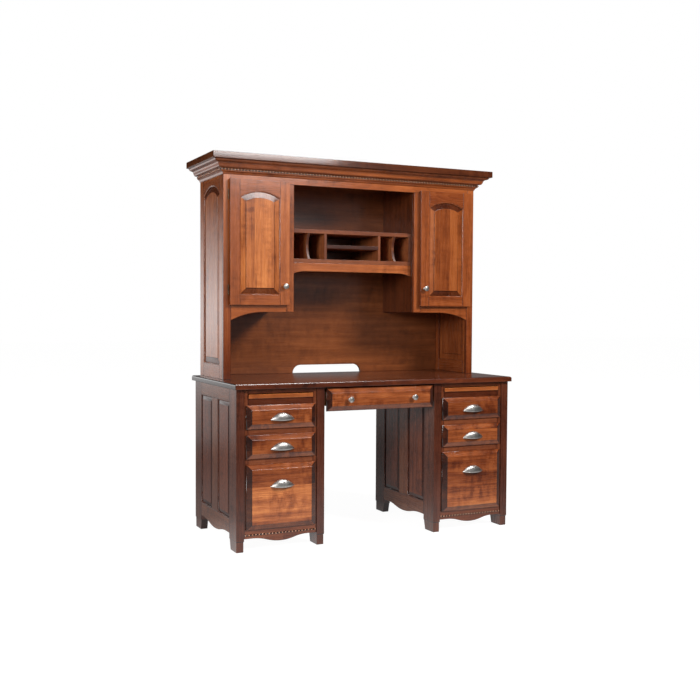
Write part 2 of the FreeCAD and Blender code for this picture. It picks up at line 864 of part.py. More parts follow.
def mitred_round(profile):
    """Front length and two side returns of a moulding, mitred at the hutch's front corners."""
    foot = hutch_top - crown_rise
    out = 2 * cap_projection
    inside = cap_inside
    face = Part.Face(profile)
    length = hutch_width + 2 * out
    front = face.extrude(V(0, length, 0))
    front.rotate(V(0, 0, 0), UP, -90)
    front.translate(V(-length / 2, y_hutch, foot))
    height = crown_rise + cap_height
    inner = V(hutch_half - inside, y_hutch + inside, foot)
    outer = V(hutch_half + out, y_hutch - out, foot)
    corners = [V(-inner.x, inner.y, foot), inner, outer, V(-outer.x, outer.y, foot)]
    front = front.common(polygon(corners).extrude(V(0, 0, height)))
    wing = face.extrude(V(0, hutch_depth + out, 0))
    wing.translate(V(hutch_half, outer.y, foot))
    corners = [inner, outer, V(outer.x, y_hutch_back, foot), V(inner.x, y_hutch_back, foot)]
    wing = wing.common(polygon(corners).extrude(V(0, 0, height)))
    return [front] + mirrored_pair(wing)


def door_frame():
    """Stiles, bottom rail and arched top rail of the right door, grooved for its panel."""
    x0, x1, z0, z1 = door_outline()
    half, floor, spring = door_opening()
    middle = (x0 + x1) / 2
    low = x0 + door_stile
    high = x1 - door_stile
    pieces = [box(x0, low, 0, door_thickness, z0, z1), box(high, x1, 0, door_thickness, z0, z1)]
    pieces.append(box(low, high, 0, door_thickness, z0, floor))
    pieces.append(moved(arched_rail(half, spring, door_arch_rise, z1, door_thickness), middle))
    groove = moved(panel_groove(half, floor, spring, door_arch_rise), middle)
    return [moved(piece.cut(groove), 0, y_door) for piece in pieces]


def door_outline():
    return (door_left - door_overlay, door_right + door_overlay,
            cabinet_floor - door_overlay, cabinet_ceiling + door_overlay)


def door_opening():
    x0, x1, z0, z1 = door_outline()
    return (x1 - x0) / 2 - door_stile, z0 + door_bottom_rail, z1 - door_spring_drop


def door_panel():
    x0, x1, z0, z1 = door_outline()
    half, floor, spring = door_opening()
    return moved(raised_panel(half, floor, spring, door_arch_rise, door_bevel), (x0 + x1) / 2, y_door)


def door_knob():
    x0, x1, z0, z1 = door_outline()
    return moved(knob(), x0 + knob_inset, y_door, z0 + knob_lift)


def hinge_places():
    """Axis x, axis y and the two middle heights of the right door's hinges."""
    x0, x1, z0, z1 = door_outline()
    return x1 + hinge_offset, y_hutch - hinge_forward, (z0 + hinge_inset, z1 - hinge_inset)


def cylinder(radius, x, y, z0, z1):
    return Part.makeCylinder(radius, z1 - z0, V(x, y, z0))


def door_leaves():
    """Leaf on the door's back with its two outer knuckles and the pin."""
    x, y, heights = hinge_places()
    y0 = y_hutch - door_gap
    y1 = y0 + leaf_thickness
    knuckle = hinge_height / knuckles / 2
    half = hinge_height / 2
    edge = x - hinge_offset - knuckle_gap
    leaves = []
    for z in heights:
        leaf = box(edge + knuckle_gap - leaf_width, edge, y0, y1, z - half, z + half)
        parts = [cylinder(pin_radius, x, y, z - half, z + half)]
        for z0, z1 in ((z - half, z - knuckle - knuckle_gap), (z + knuckle + knuckle_gap, z + half)):
            parts.append(cylinder(knuckle_radius, x, y, z0, z1))
            parts.append(box(edge, x, y0, y1, z0, z1))
        leaves.append(leaf.fuse(parts).removeSplitter())
    return leaves


def frame_leaves():
    """Leaf that wraps the end stile's inner edge, with the middle knuckle."""
    x, y, heights = hinge_places()
    knuckle = hinge_height / knuckles / 2
    half = hinge_height / 2
    leaf_front = y_hutch - leaf_thickness
    bore = pin_radius + pin_clearance
    web = knuckle_radius / 2
    leaves = []
    for z in heights:
        flat = box(door_right - leaf_thickness, x + web, leaf_front, y_hutch, z - half, z + half)
        wrap = box(door_right - leaf_thickness, door_right, y_hutch, y_case, z - half, z + half)
        barrel = cylinder(knuckle_radius, x, y, z - knuckle, z + knuckle)
        neck = box(x - web, x + web, y, leaf_front, z - knuckle, z + knuckle)
        hole = cylinder(bore, x, y, z - knuckle, z + knuckle)
        leaves.append(flat.fuse([wrap, barrel.fuse(neck).cut(hole)]).removeSplitter())
    return leaves


def mirrored(pieces, side):
    return [mirrored_pair(piece)[1] for piece in pieces] if side < 0 else pieces


def doors():
    for prefix, side in (("left", -1), ("right", 1)):
        export(prefix + "_door_frame", mirrored(door_frame(), side))
        export(prefix + "_door_panel", mirrored([door_panel()], side))
        export(prefix + "_door_knob", mirrored([door_knob()], side))
        export(prefix + "_door_leaves", mirrored(door_leaves(), side))
    export("hinge_frame_leaves", frame_leaves() + mirrored(frame_leaves(), -1))


def hutch():
    export("hutch_side_frames", hutch_side_frame(-1) + hutch_side_frame(1))
    export("hutch_side_panels", [hutch_side_panel(-1), hutch_side_panel(1)])
    export("hutch_face_frame", hutch_face_frame())
    export("hutch_carcass", hutch_carcass())
    export("hutch_back", [hutch_back()])
    export("cabinet_shelves", cabinet_shelves())
    export("organizer_shelves", organizer_shelves())
    export("organizer_dividers", organizer_dividers())
    export("organizer_valance", [valance()])
    export("crown_moulding", mitred_round(crown_profile()))
    export("crown_cap", mitred_round(cap_profile()))
    apron_lengths = [apron_rope(cx) for cx in (-pedestal_x, pedestal_x)]
    export("rope_mouldings", apron_lengths + mitred_round(rope_profile()))


os.makedirs("parts", exist_ok=True)
export("desktop", [desktop()])
pedestals()
pencil_drawer()
export("knee_back_rail", [knee_rail()])
hutch()
doors()
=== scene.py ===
import fnmatch
import json
import math
import random

import bmesh
import bpy
from mathutils import Matrix, Vector


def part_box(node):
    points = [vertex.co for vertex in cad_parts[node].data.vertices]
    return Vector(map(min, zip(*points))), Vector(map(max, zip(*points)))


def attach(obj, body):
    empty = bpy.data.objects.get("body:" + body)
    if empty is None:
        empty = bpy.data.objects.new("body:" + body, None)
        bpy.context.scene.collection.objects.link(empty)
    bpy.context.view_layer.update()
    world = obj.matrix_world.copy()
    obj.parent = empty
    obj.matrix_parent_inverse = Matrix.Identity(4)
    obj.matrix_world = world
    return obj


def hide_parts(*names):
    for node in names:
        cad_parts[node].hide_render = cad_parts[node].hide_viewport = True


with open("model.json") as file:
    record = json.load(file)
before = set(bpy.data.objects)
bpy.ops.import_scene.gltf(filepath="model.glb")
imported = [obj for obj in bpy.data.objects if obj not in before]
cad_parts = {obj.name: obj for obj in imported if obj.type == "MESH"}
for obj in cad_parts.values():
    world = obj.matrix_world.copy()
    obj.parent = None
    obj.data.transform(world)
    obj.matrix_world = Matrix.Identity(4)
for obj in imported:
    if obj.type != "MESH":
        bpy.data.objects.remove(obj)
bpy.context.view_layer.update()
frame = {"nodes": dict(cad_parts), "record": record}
record = frame["record"]
scene = bpy.context.scene
nodes = frame["nodes"]
body_of = {node: body for body, members in record["behaviour"]["bodies"].items() for node in members}
slot_of = {row["node"]: row["material_slot"] for row in record["subparts"]}

UP = Vector((0, 0, 1))
FRONT = Vector((0, -1, 0))

# The photographer's place in metres, turns in radians, lens and sensor in millimetres
CAMERA_PLACE = (-2.23145, -4.61797, 1.12951)
CAMERA_YAW = 0.44682
CAMERA_PITCH = 0.04013
CAMERA_ROLL = 0.00542
CAMERA_LENS = 50.54
CAMERA_SENSOR = 36.0

# Welding and rounding of the boards: metres, decimals of a metre that tell corners apart, and radians
WELD = 1e-5
WELD_DECIMALS = 5
FLAT_ANGLE = math.radians(0.5)
CREASE_ANGLE = math.radians(5.5)
ARRIS_ANGLE = math.radians(28)
ARRIS_STEPS = 2
DRAWER_LIP = 0.0045
LIP_STEPS = 4

# End stain: slope at which a face counts in full as end grain, and its share as painted shade on the downward faces of
# the drawer fronts
END_GRAIN = 0.06
UNDERSIDE_SHADE = 0.35

# Boards' place in the log: steps from stave to stave and from board to board, and reach of the shifts in metres
GOLDEN = 0.381966
LANE_SEED = 7.31
LOT_SEED = 91.7
LOG_SHIFT = (5.0, 0.11, 0.05)

# Growth rings, in metres: width, place of the pith beside and below the board, its wandering, and how late they darken
RING_WIDTH = 0.006
PITH_BESIDE = 0.055
PITH_BELOW = 0.02
PITH_WANDER = 0.09
LATE_WOOD = 3.0

# Stretch of each kind of figure along, across and through the board, per metre
WANDER_STRETCH = (1.3, 5.0, 5.0)
STREAK_STRETCH = (1.6, 38.0, 38.0)
FIBRE_STRETCH = (16.0, 700.0, 700.0)
BLOTCH_STRETCH = (7.0, 15.0, 15.0)
CURL_STRETCH = (34.0, 13.0, 13.0)
PATCH_STRETCH = (4.0, 9.0, 9.0)

# Where curl starts and is full, the same for its patches, and each kind's share in the figure
CURL_RANGE = (0.42, 0.74)
PATCH_RANGE = (0.38, 0.66)
STREAK_SHARE = 0.62
BLOTCH_SHARE = 0.36
FIBRE_SHARE = 0.14
LATE_SHARE = 0.10
FIGURE_MIDDLE = 0.52

# Tone of staves and boards, as shares of a stain's tone depth, and how tone changes the red and the blue
STAVE_LIGHTER = 0.6
BOARD_DARKER = 0.5
BOARD_LIGHTER = 0.4
RED_POWER = 0.75
BLUE_POWER = 1.15

# Dark rim of the boards: scale of its ragged edge, and its fade as shares of its width
RIM_CLOUD = 22.0
RIM_FADE = (0.2, 1.0, 1.0, 0.0)

# A stave wider than any board, for boards in one piece, and a half size for carved pieces without a rim, in metres
WHOLE_BOARD = 1.0
NO_RIM = 9.0

# Glaze and painted shade in the corner round a raised field: distance from the panel's edge and fade in metres, and its
# strength
GLAZING_SHADE_PLACE = 0.0393
GLAZING_SHADE_FADE = (0.0008, 0.0024, 1.0, 0.0)
GLAZING_SHADE_STRENGTH = 0.8

# Lacquer: fibre values between which it turns rougher, by how much, and the fibres' relief in metres
LACQUER_RANGE = (0.3, 0.7)
LACQUER_SMOOTHER = 0.04
LACQUER_ROUGHER = 0.06
FIBRE_BUMP = 0.12
FIBRE_HEIGHT = 0.0006
COAT_ROUGHNESS = 0.2

# Plating: stretch of the rub marks, scale and range of the dark clouds, and the marks' roughness and relief in metres
RUB_STRETCH = (60.0, 400.0, 900.0)
RUB_RANGE = (0.3, 0.7)
RUB_SMOOTHER = 0.07
RUB_ROUGHER = 0.08
RUB_BUMP = 0.08
RUB_HEIGHT = 0.0003
CLOUD_SCALE = 90.0
CLOUD_RANGE = (0.35, 0.65)

# Stains that darken what they are rubbed over; the soaked and deep ones also stand as painted shade on faces marked for
# it, and the black one is painted shade only
RUBBED = (0.66, 0.58, 0.56, 1.0)
SOAKED_AND_SHADE = (0.30, 0.24, 0.24, 1.0)
DEEP_STAIN_AND_SHADE = (0.16, 0.12, 0.11, 1.0)
PAINTED_SHADE_BLACK = (0.05, 0.035, 0.03, 1.0)
DRY = (0.82, 0.78, 0.74, 1.0)

# Raised panels, in metres: tongue hidden in the frame, drop of the field below the frame's face, rise of the arches,
# and the middle line of a pedestal
PANEL_TONGUE = 0.008
FIELD_DROP = 0.0015
SIDE_ARCH = 0.048
DOOR_ARCH = 0.032
ARCH_STEPS = 24
PEDESTAL_MIDDLE = 0.52805

# Moulded inner edge of the frames, in metres: its drop, its steps inwards and backwards, and the wall of the strip
EDGE_QUIRK = 0.0004
EDGE_STEPS = ((0.0021, 0.0005), (0.0018, 0.0013), (0.0011, 0.0020))
EDGE_WALL = 0.0012

# Rope bead: pitch in metres and lean of the strands; the core, the painted highlight on top, the strands' half width
# and their length
# are shares of the bead's size, its radius, the pitch and the bead's height
ROPE_PITCH = 0.0165
ROPE_LEAN = math.radians(68)
ROPE_CORE = 0.6
ROPE_HIGHLIGHT_TOP = 0.48
ROPE_STRAND = 0.27
ROPE_LENGTH = 0.98
STRAND_SIDES = 8
STRAND_RINGS = 6

# Cup pulls, in metres, and the steps of their bow, dome and rolled edges
PULL_WALL = 0.0014
PULL_LIP = 0.0013
PULL_BEAD = 0.0009
PULL_DIP = 0.003
BOW_STEPS = 32
DOME_STEPS = 20
ROLL_STEPS = 10

# Knobs: profile from the foot to the face, as shares of length and radius
KNOB_PROFILE = ((0.0, 0.60), (0.06, 0.60), (0.12, 0.50), (0.18, 0.38), (0.42, 0.36), (0.52, 0.55), (0.60, 0.86),
                (0.66, 0.97), (0.72, 1.0), (0.80, 0.97), (0.86, 0.88), (0.88, 0.80), (0.86, 0.74), (0.90, 0.66),
                (0.97, 0.36), (1.0, 0.0))
KNOB_STEPS = 32

# Stage, in metres. Each fade is from, to, brightness at the first, brightness at the last
WHITE = (1.0, 1.0, 1.0, 1.0)
FLOOR_SIZE = 30.0
FLOOR_ROUGHNESS = 0.9
FLOOR_BOUNCE = (0.28, 0.28, 0.28, 1.0)
FLOOR_FRONT = (-2.2, -1.1, 0.06, 1.0)
FLOOR_UNDER = (-0.3, 0.5, 1.0, 0.26)
FLOOR_BEHIND = (1.0, 2.4, 1.0, 0.4)
FLOOR_RIGHT = (0.5, 1.4, 1.0, 0.3)
FLOOR_GLOW = 0.96
FLOOR_SHADE = (0.16, 0.16, 0.16, 1.0)
BACKDROP_SIZE = 6.0
BACKDROP_PLACE = 3.4
BACKDROP_LOW = (0.35, 1.0, 0.22, 1.0)
BACKDROP_HIGH = (1.15, 2.08, 2.1, 0.0)
BACKDROP_LEFT = (-1.5, -0.7, 1.0, 0.10)

# Room: brightness and colour of its light, its brightness in mirror images, and the colour of the key light
ROOM_LIGHT = 0.22
ROOM_SHEEN = 0.05
ROOM_COLOUR = (1.0, 0.98, 0.96, 1.0)
KEY_COLOUR = (1.0, 0.95, 0.88)

# Boards cut from a known place in the stack
CHOSEN_LOT = {"left_file_drawer_front": 0.5074, "right_file_drawer_front": 0.5755,
              "right_door_panel": 0.2376, "left_door_panel": 0.7299}

# Boards drawn darker, under 1, or lighter, over 1: axis, from, to for the board's middle in metres, and tone. Most rows
# are the boards' own tone; the rows noted below are painted shade.
# A row with two tones has that of the board's foot first and that of its head last
BOARD_TONES_AND_SHADE = {
    "crown_cap": ((0, -0.8, -0.7, 1.7),),
    # The end stiles, first and last in this entry, are painted light and shade: darker towards the foot, lighter
    # towards the head
    "hutch_face_frame": ((0, -0.75, -0.66, 0.25, 1.25), (0, -0.66, -0.35, 1.0), (0, -0.35, -0.2, 1.5),
                         (0, 0.45, 0.66, 1.1), (0, 0.66, 0.75, 0.38, 1.1)),
    # The right-hand partition and the right side of the hutch are darkened as painted shade
    "hutch_carcass": ((0, 0.2, 0.4, 0.42),),
    "hutch_side_frames": ((0, 0.6, 0.8, 0.8),),
    "hutch_side_panels": ((0, 0.6, 0.8, 0.8),),
    "organizer_valance": ((0, -1.0, 1.0, 1.2),),
    "left_door_frame": ((0, -1.0, -0.6, 0.80), (0, -0.6, 0.0, 0.98)),
    "right_door_panel": ((0, 0.0, 1.0, 0.62),),
    "right_door_frame": ((0, 0.0, 1.0, 0.68),),
    # The face-frame rail under the writing boards is darkened as painted shadow
    "pedestal_face_frames": ((2, 0.69, 0.705, 0.5),),
    "left_upper_drawer_front": ((0, -1.0, 0.0, 1.1),),
    "left_middle_drawer_front": ((0, -1.0, 0.0, 0.92),),
    "left_file_drawer_front": ((0, -1.0, 0.0, 1.5),),
    "right_upper_drawer_front": ((0, 0.0, 1.0, 0.74),),
    "right_middle_drawer_front": ((0, 0.0, 1.0, 0.80),),
    "right_file_drawer_front": ((0, 0.0, 1.0, 0.85),),
}

# Wooden nodes, by the first row that fits: finish, rounding of the corners in metres, and the axis of the grain where
# it doesn't follow the longest side
WOOD_ROWS = (
    ("desktop", "top", 0.0015, None),
    ("*_drawer_box", "box", 0.0008, None),
    ("slide_cleats", "box", 0.0008, None),
    ("*_file_drawer_front", "file", 0.0022, 0),
    ("*_drawer_front", "drawer", 0.0022, 0),
    ("organizer_dividers", "divider", 0.0010, 2),
    ("organizer_shelves", "divider", 0.0010, None),
    ("hutch_side_panels", "arch", 0.0014, None),
    ("*_writing_board", "strip", 0.0012, 0),
    ("*_door_panel", "door", 0.0010, None),
    ("crown_cap", "cap", 0.0016, None),
    ("hutch_back", "inside", 0.0010, None),
    ("hutch_carcass", "inside", 0.0010, None),
    ("cabinet_shelves", "inside", 0.0010, None),
    ("pedestal_face_frames", "face", 0.0012, None),
    ("pedestal_side_panels", "side", 0.0012, None),
    ("pedestal_side_rails", "rail", 0.0012, None),
    ("pedestal_*", "base", 0.0012, None),
    ("knee_*", "base", 0.0012, None),
    ("*", "case", 0.0014, None),
)


# Shader nodes

def add(tree, kind, inputs=None, **settings):
    """A new node with its settings, and its inputs set to values or linked to sockets."""
    made = tree.nodes.new(kind)
    for key, value in settings.items():
        setattr(made, key, value)
    for key, value in (inputs or {}).items():
        if isinstance(value, bpy.types.NodeSocket):
            tree.links.new(value, made.inputs[key])
        else:
            made.inputs[key].default_value = value
    return made


def maths(tree, operation, *values):
    """A sum on numbers."""
    return add(tree, "ShaderNodeMath", dict(enumerate(values)), operation=operation).outputs[0]


def vector_maths(tree, operation, *values):
    """A sum on vectors."""
    return add(tree, "ShaderNodeVectorMath", dict(enumerate(values)), operation=operation).outputs[0]


def split(tree, vector):
    """The three numbers of a vector."""
    return add(tree, "ShaderNodeSeparateXYZ", {0: vector}).outputs


def blend(tree, factor, first, second, mode="MIX"):
    """One colour over another."""
    made = add(tree, "ShaderNodeMix", {0: factor, 6: first, 7: second}, data_type="RGBA", blend_type=mode)
    return made.outputs[2]


def rub_in_stain_and_shade(tree, mask, colour, darker):
    """A colour with a darker stain rubbed over it where the mask shows; with some masks the darker colour is painted
    shade.
    """
    return blend(tree, mask, colour, blend(tree, 1.0, colour, darker, "MULTIPLY"))


def spread(tree, value, low, high, to_low=0.0, to_high=1.0):
    """Map a value from low..high to to_low..to_high, held at the ends."""
    inputs = {"Value": value, "From Min": low, "From Max": high, "To Min": to_low, "To Max": to_high}
    return add(tree, "ShaderNodeMapRange", inputs, clamp=True).outputs[0]


def noise(tree, vector, scale, detail, roughness=0.5):
    """Cloudy noise."""
    inputs = {"Vector": vector, "Scale": scale, "Detail": detail, "Roughness": roughness}
    return add(tree, "ShaderNodeTexNoise", inputs).outputs["Fac"]


def stretched_noise(tree, vector, stretch, detail, roughness=0.5):
    """Cloudy noise with its own scale along each axis."""
    return noise(tree, vector_maths(tree, "MULTIPLY", vector, stretch), 1.0, detail, roughness)


def attribute(tree, name, output):
    """A layer that was written on the mesh."""
    return add(tree, "ShaderNodeAttribute", attribute_name=name).outputs[output]


def new_group(name, vectors, numbers, outputs):
    """An empty node group that puts out numbers; returns its tree, its given sockets and its output sockets."""
    tree = bpy.data.node_groups.new(name, "ShaderNodeTree")
    for label in vectors:
        tree.interface.new_socket(label, in_out="INPUT", socket_type="NodeSocketVector")
    for label in numbers:
        tree.interface.new_socket(label, in_out="INPUT", socket_type="NodeSocketFloat")
    for label in outputs:
        tree.interface.new_socket(label, in_out="OUTPUT", socket_type="NodeSocketFloat")
    return tree, tree.nodes.new("NodeGroupInput").outputs, tree.nodes.new("NodeGroupOutput").inputs


def hardwood_group():
    """Figure of a sawn hardwood board: growth rings, streaks, stain blotches, fine fibres and curl."""
    tree, given, out = new_group("Hardwood figure", ["Grain"], ["Seed", "Stave", "Curl"],
                                 ["Figure", "Tone", "Fibre"])
    across = split(tree, given["Grain"])[1]

    # Glued-up staves: each has its own tone and its own place in the log
    start = maths(tree, "MULTIPLY", given["Seed"], LANE_SEED)
    lane = maths(tree, "FLOOR", maths(tree, "ADD", maths(tree, "DIVIDE", across, given["Stave"]), start))
    lot = maths(tree, "ADD", maths(tree, "MULTIPLY", lane, GOLDEN), maths(tree, "MULTIPLY", given["Seed"], LOT_SEED))
    draw = add(tree, "ShaderNodeTexWhiteNoise", {"W": lot}, noise_dimensions="1D")
    shift = vector_maths(tree, "MULTIPLY", draw.outputs["Color"], LOG_SHIFT)
    place = vector_maths(tree, "ADD", given["Grain"], shift)

    # Growth rings about a pith that wanders
    wander = stretched_noise(tree, place, WANDER_STRETCH, detail=2.0)
    sway = maths(tree, "MULTIPLY", maths(tree, "SUBTRACT", wander, 0.5), PITH_WANDER)
    moved = split(tree, place)
    beside = maths(tree, "ADD", maths(tree, "SUBTRACT", moved[1], PITH_BESIDE), sway)
    below = maths(tree, "ADD", maths(tree, "ADD", moved[2], PITH_BELOW), sway)
    from_pith = add(tree, "ShaderNodeCombineXYZ", {0: 0.0, 1: beside, 2: below}).outputs[0]
    radius = add(tree, "ShaderNodeVectorMath", {0: from_pith}, operation="LENGTH").outputs["Value"]
    late = maths(tree, "POWER", maths(tree, "FRACT", maths(tree, "DIVIDE", radius, RING_WIDTH)), LATE_WOOD)

    streak = stretched_noise(tree, place, STREAK_STRETCH, detail=4.0, roughness=0.6)
    fibre = stretched_noise(tree, place, FIBRE_STRETCH, detail=2.0, roughness=0.6)
    blotch = stretched_noise(tree, place, BLOTCH_STRETCH, detail=3.0, roughness=0.55)

    # Curl: short bars across the grain, in patches
    bars = stretched_noise(tree, place, CURL_STRETCH, detail=3.0, roughness=0.55)
    patch = stretched_noise(tree, place, PATCH_STRETCH, detail=1.0)
    curl = maths(tree, "MULTIPLY", spread(tree, bars, *CURL_RANGE), spread(tree, patch, *PATCH_RANGE))

    figure = maths(tree, "MULTIPLY", streak, STREAK_SHARE)
    figure = maths(tree, "ADD", figure, maths(tree, "MULTIPLY", blotch, BLOTCH_SHARE))
    figure = maths(tree, "ADD", figure, maths(tree, "MULTIPLY", fibre, FIBRE_SHARE))
    figure = maths(tree, "SUBTRACT", figure, maths(tree, "MULTIPLY", late, LATE_SHARE))
    figure = maths(tree, "SUBTRACT", figure, maths(tree, "MULTIPLY", curl, given["Curl"]))
    tree.links.new(figure, out["Figure"])
    tree.links.new(maths(tree, "FRACT", lot), out["Tone"])
    tree.links.new(fibre, out["Fibre"])
    return tree


def burnish_group():
    """Mask of the darker stain that is rubbed round the rim of each board."""
    tree, given, out = new_group("Burnished rim", ["Grain", "Board"], ["Width"], ["Rim"])
    place = split(tree, given["Grain"])
    half = split(tree, given["Board"])
    gaps = [maths(tree, "SUBTRACT", half[i], maths(tree, "ABSOLUTE", place[i])) for i in (0, 1)]
    near = maths(tree, "MINIMUM", *gaps)
    cloud = noise(tree, given["Grain"], RIM_CLOUD, detail=3.0)
    ragged = maths(tree, "MULTIPLY", maths(tree, "SUBTRACT", cloud, 0.5), given["Width"])
    share = maths(tree, "DIVIDE", maths(tree, "ADD", near, ragged), given["Width"])
    tree.links.new(spread(tree, share, *RIM_FADE), out["Rim"])
    return tree


def glazing_shade_group():
    """Mask of glaze and painted shade in the corner where a panel's field stands above its bevel; Rise is that of its
    arch.
    """
    tree, given, out = new_group("Glazed and shaded corner", ["Grain", "Board"], ["Rise"], ["Line"])
    place = split(tree, given["Grain"])
    half = split(tree, given["Board"])
    beside = maths(tree, "SUBTRACT", half[1], maths(tree, "ABSOLUTE", place[1]))
    below = maths(tree, "ADD", half[0], place[0])
    above = maths(tree, "SUBTRACT", maths(tree, "SUBTRACT", half[0], place[0]), given["Rise"])

    def near(gap):
        return spread(tree, maths(tree, "ABSOLUTE", maths(tree, "SUBTRACT", gap, GLAZING_SHADE_PLACE)), *GLAZING_SHADE_FADE)

    def inside(gap):
        return maths(tree, "GREATER_THAN", gap, GLAZING_SHADE_PLACE)

    upright = maths(tree, "MULTIPLY", near(beside), maths(tree, "MULTIPLY", inside(below), inside(above)))
    level = maths(tree, "MULTIPLY", near(below), inside(beside))
    line = maths(tree, "MAXIMUM", upright, level)
    tree.links.new(maths(tree, "MULTIPLY", line, GLAZING_SHADE_STRENGTH), out["Line"])
    return tree


HARDWOOD = hardwood_group()
BURNISH = burnish_group()
GLAZING_AND_SHADE = glazing_shade_group()


# Materials

def stain(red, green, blue):
    """A colour on the 0 to 255 scale as the shader's linear one."""
    def linear(value):
        share = value / 255
        return share / 12.92 if share <= 0.04045 else ((share + 0.055) / 1.055) ** 2.4
    return (linear(red), linear(green), linear(blue), 1.0)


def new_material(name):
    """A material with its node tree and its shader."""
    material = bpy.data.materials.new(name)
    material.use_nodes = True
    tree = material.node_tree
    return material, tree, tree.nodes["Principled BSDF"]


def lacquered_wood(name, dark, middle, light, rim_width, tone_depth, stave=WHOLE_BOARD, rim_stain=RUBBED,
                   end_and_shade_stain=SOAKED_AND_SHADE, gloss=0.26, coat=0.25, reach=0.22, rise=None, curl=0.2):
    """Stained and lacquered hardwood that follows each board's own grain; end grain drinks more stain, which also
    stands as painted shade on faces marked for it.

    A rise is given for arched panels: glaze and painted shade darken the corner round their field.
    """
    material, tree, shader = new_material(name)
    grain = attribute(tree, "grain", "Vector")
    board = attribute(tree, "board", "Vector")
    seed = split(tree, board)[2]
    wood = add(tree, "ShaderNodeGroup", node_tree=HARDWOOD,
               inputs={"Grain": grain, "Seed": seed, "Stave": stave, "Curl": curl})
    ramp = add(tree, "ShaderNodeValToRGB", {0: wood.outputs["Figure"]})
    stops = ramp.color_ramp.elements
    stops[0].position, stops[0].color = FIGURE_MIDDLE - reach, stain(*dark)
    stops[1].position, stops[1].color = FIGURE_MIDDLE + reach, stain(*light)
    stops.new(FIGURE_MIDDLE).color = stain(*middle)

    stave_tone = spread(tree, wood.outputs["Tone"], 0.0, 1.0, 1.0 - tone_depth, 1.0 + tone_depth * STAVE_LIGHTER)
    board_tone = spread(tree, seed, 0.0, 1.0, 1.0 - tone_depth * BOARD_DARKER, 1.0 + tone_depth * BOARD_LIGHTER)
    # The tone layer holds each board's own tone and, on some boards, painted shade
    tone_and_shade = attribute(tree, "tone_and_shade", "Fac")
    level = maths(tree, "MULTIPLY", maths(tree, "MULTIPLY", stave_tone, board_tone), tone_and_shade)
    red = maths(tree, "POWER", level, RED_POWER)
    blue = maths(tree, "POWER", level, BLUE_POWER)
    shade = add(tree, "ShaderNodeCombineColor", {0: red, 1: level, 2: blue}).outputs[0]
    colour = blend(tree, 1.0, ramp.outputs[0], shade, "MULTIPLY")

    rim = add(tree, "ShaderNodeGroup", node_tree=BURNISH,
              inputs={"Grain": grain, "Board": board, "Width": rim_width})
    colour = rub_in_stain_and_shade(tree, rim.outputs["Rim"], colour, rim_stain)
    # The end layer darkens end grain, and paints shade where a face is marked for it
    colour = rub_in_stain_and_shade(tree, attribute(tree, "end", "Fac"), colour, end_and_shade_stain)
    if rise is not None:
        glazing_and_shade = add(tree, "ShaderNodeGroup", node_tree=GLAZING_AND_SHADE,
                    inputs={"Grain": grain, "Board": board, "Rise": rise})
        colour = rub_in_stain_and_shade(tree, glazing_and_shade.outputs["Line"], colour, DEEP_STAIN_AND_SHADE)
    tree.links.new(colour, shader.inputs["Base Color"])

    fibre = wood.outputs["Fibre"]
    rough = spread(tree, fibre, *LACQUER_RANGE, gloss - LACQUER_SMOOTHER, gloss + LACQUER_ROUGHER)
    tree.links.new(rough, shader.inputs["Roughness"])
    bump = add(tree, "ShaderNodeBump", {"Height": fibre, "Strength": FIBRE_BUMP, "Distance": FIBRE_HEIGHT})
    tree.links.new(bump.outputs[0], shader.inputs["Normal"])
    shader.inputs["Coat Weight"].default_value = coat
    shader.inputs["Coat Roughness"].default_value = COAT_ROUGHNESS
    return material


def brushed_metal(name, colour, dark, gloss):
    """Satin plating with fine rub marks and a darker tone in clouds."""
    material, tree, shader = new_material(name)
    place = add(tree, "ShaderNodeTexCoord").outputs["Object"]
    rubbed = stretched_noise(tree, place, RUB_STRETCH, detail=3.0)
    cloud = noise(tree, place, CLOUD_SCALE, detail=3.0)
    mixed = blend(tree, spread(tree, cloud, *CLOUD_RANGE), dark, colour)
    tree.links.new(mixed, shader.inputs["Base Color"])
    rough = spread(tree, rubbed, *RUB_RANGE, gloss - RUB_SMOOTHER, gloss + RUB_ROUGHER)
    tree.links.new(rough, shader.inputs["Roughness"])
    bump = add(tree, "ShaderNodeBump", {"Height": rubbed, "Strength": RUB_BUMP, "Distance": RUB_HEIGHT})
    tree.links.new(bump.outputs[0], shader.inputs["Normal"])
    shader.inputs["Metallic"].default_value = 1.0
    return material


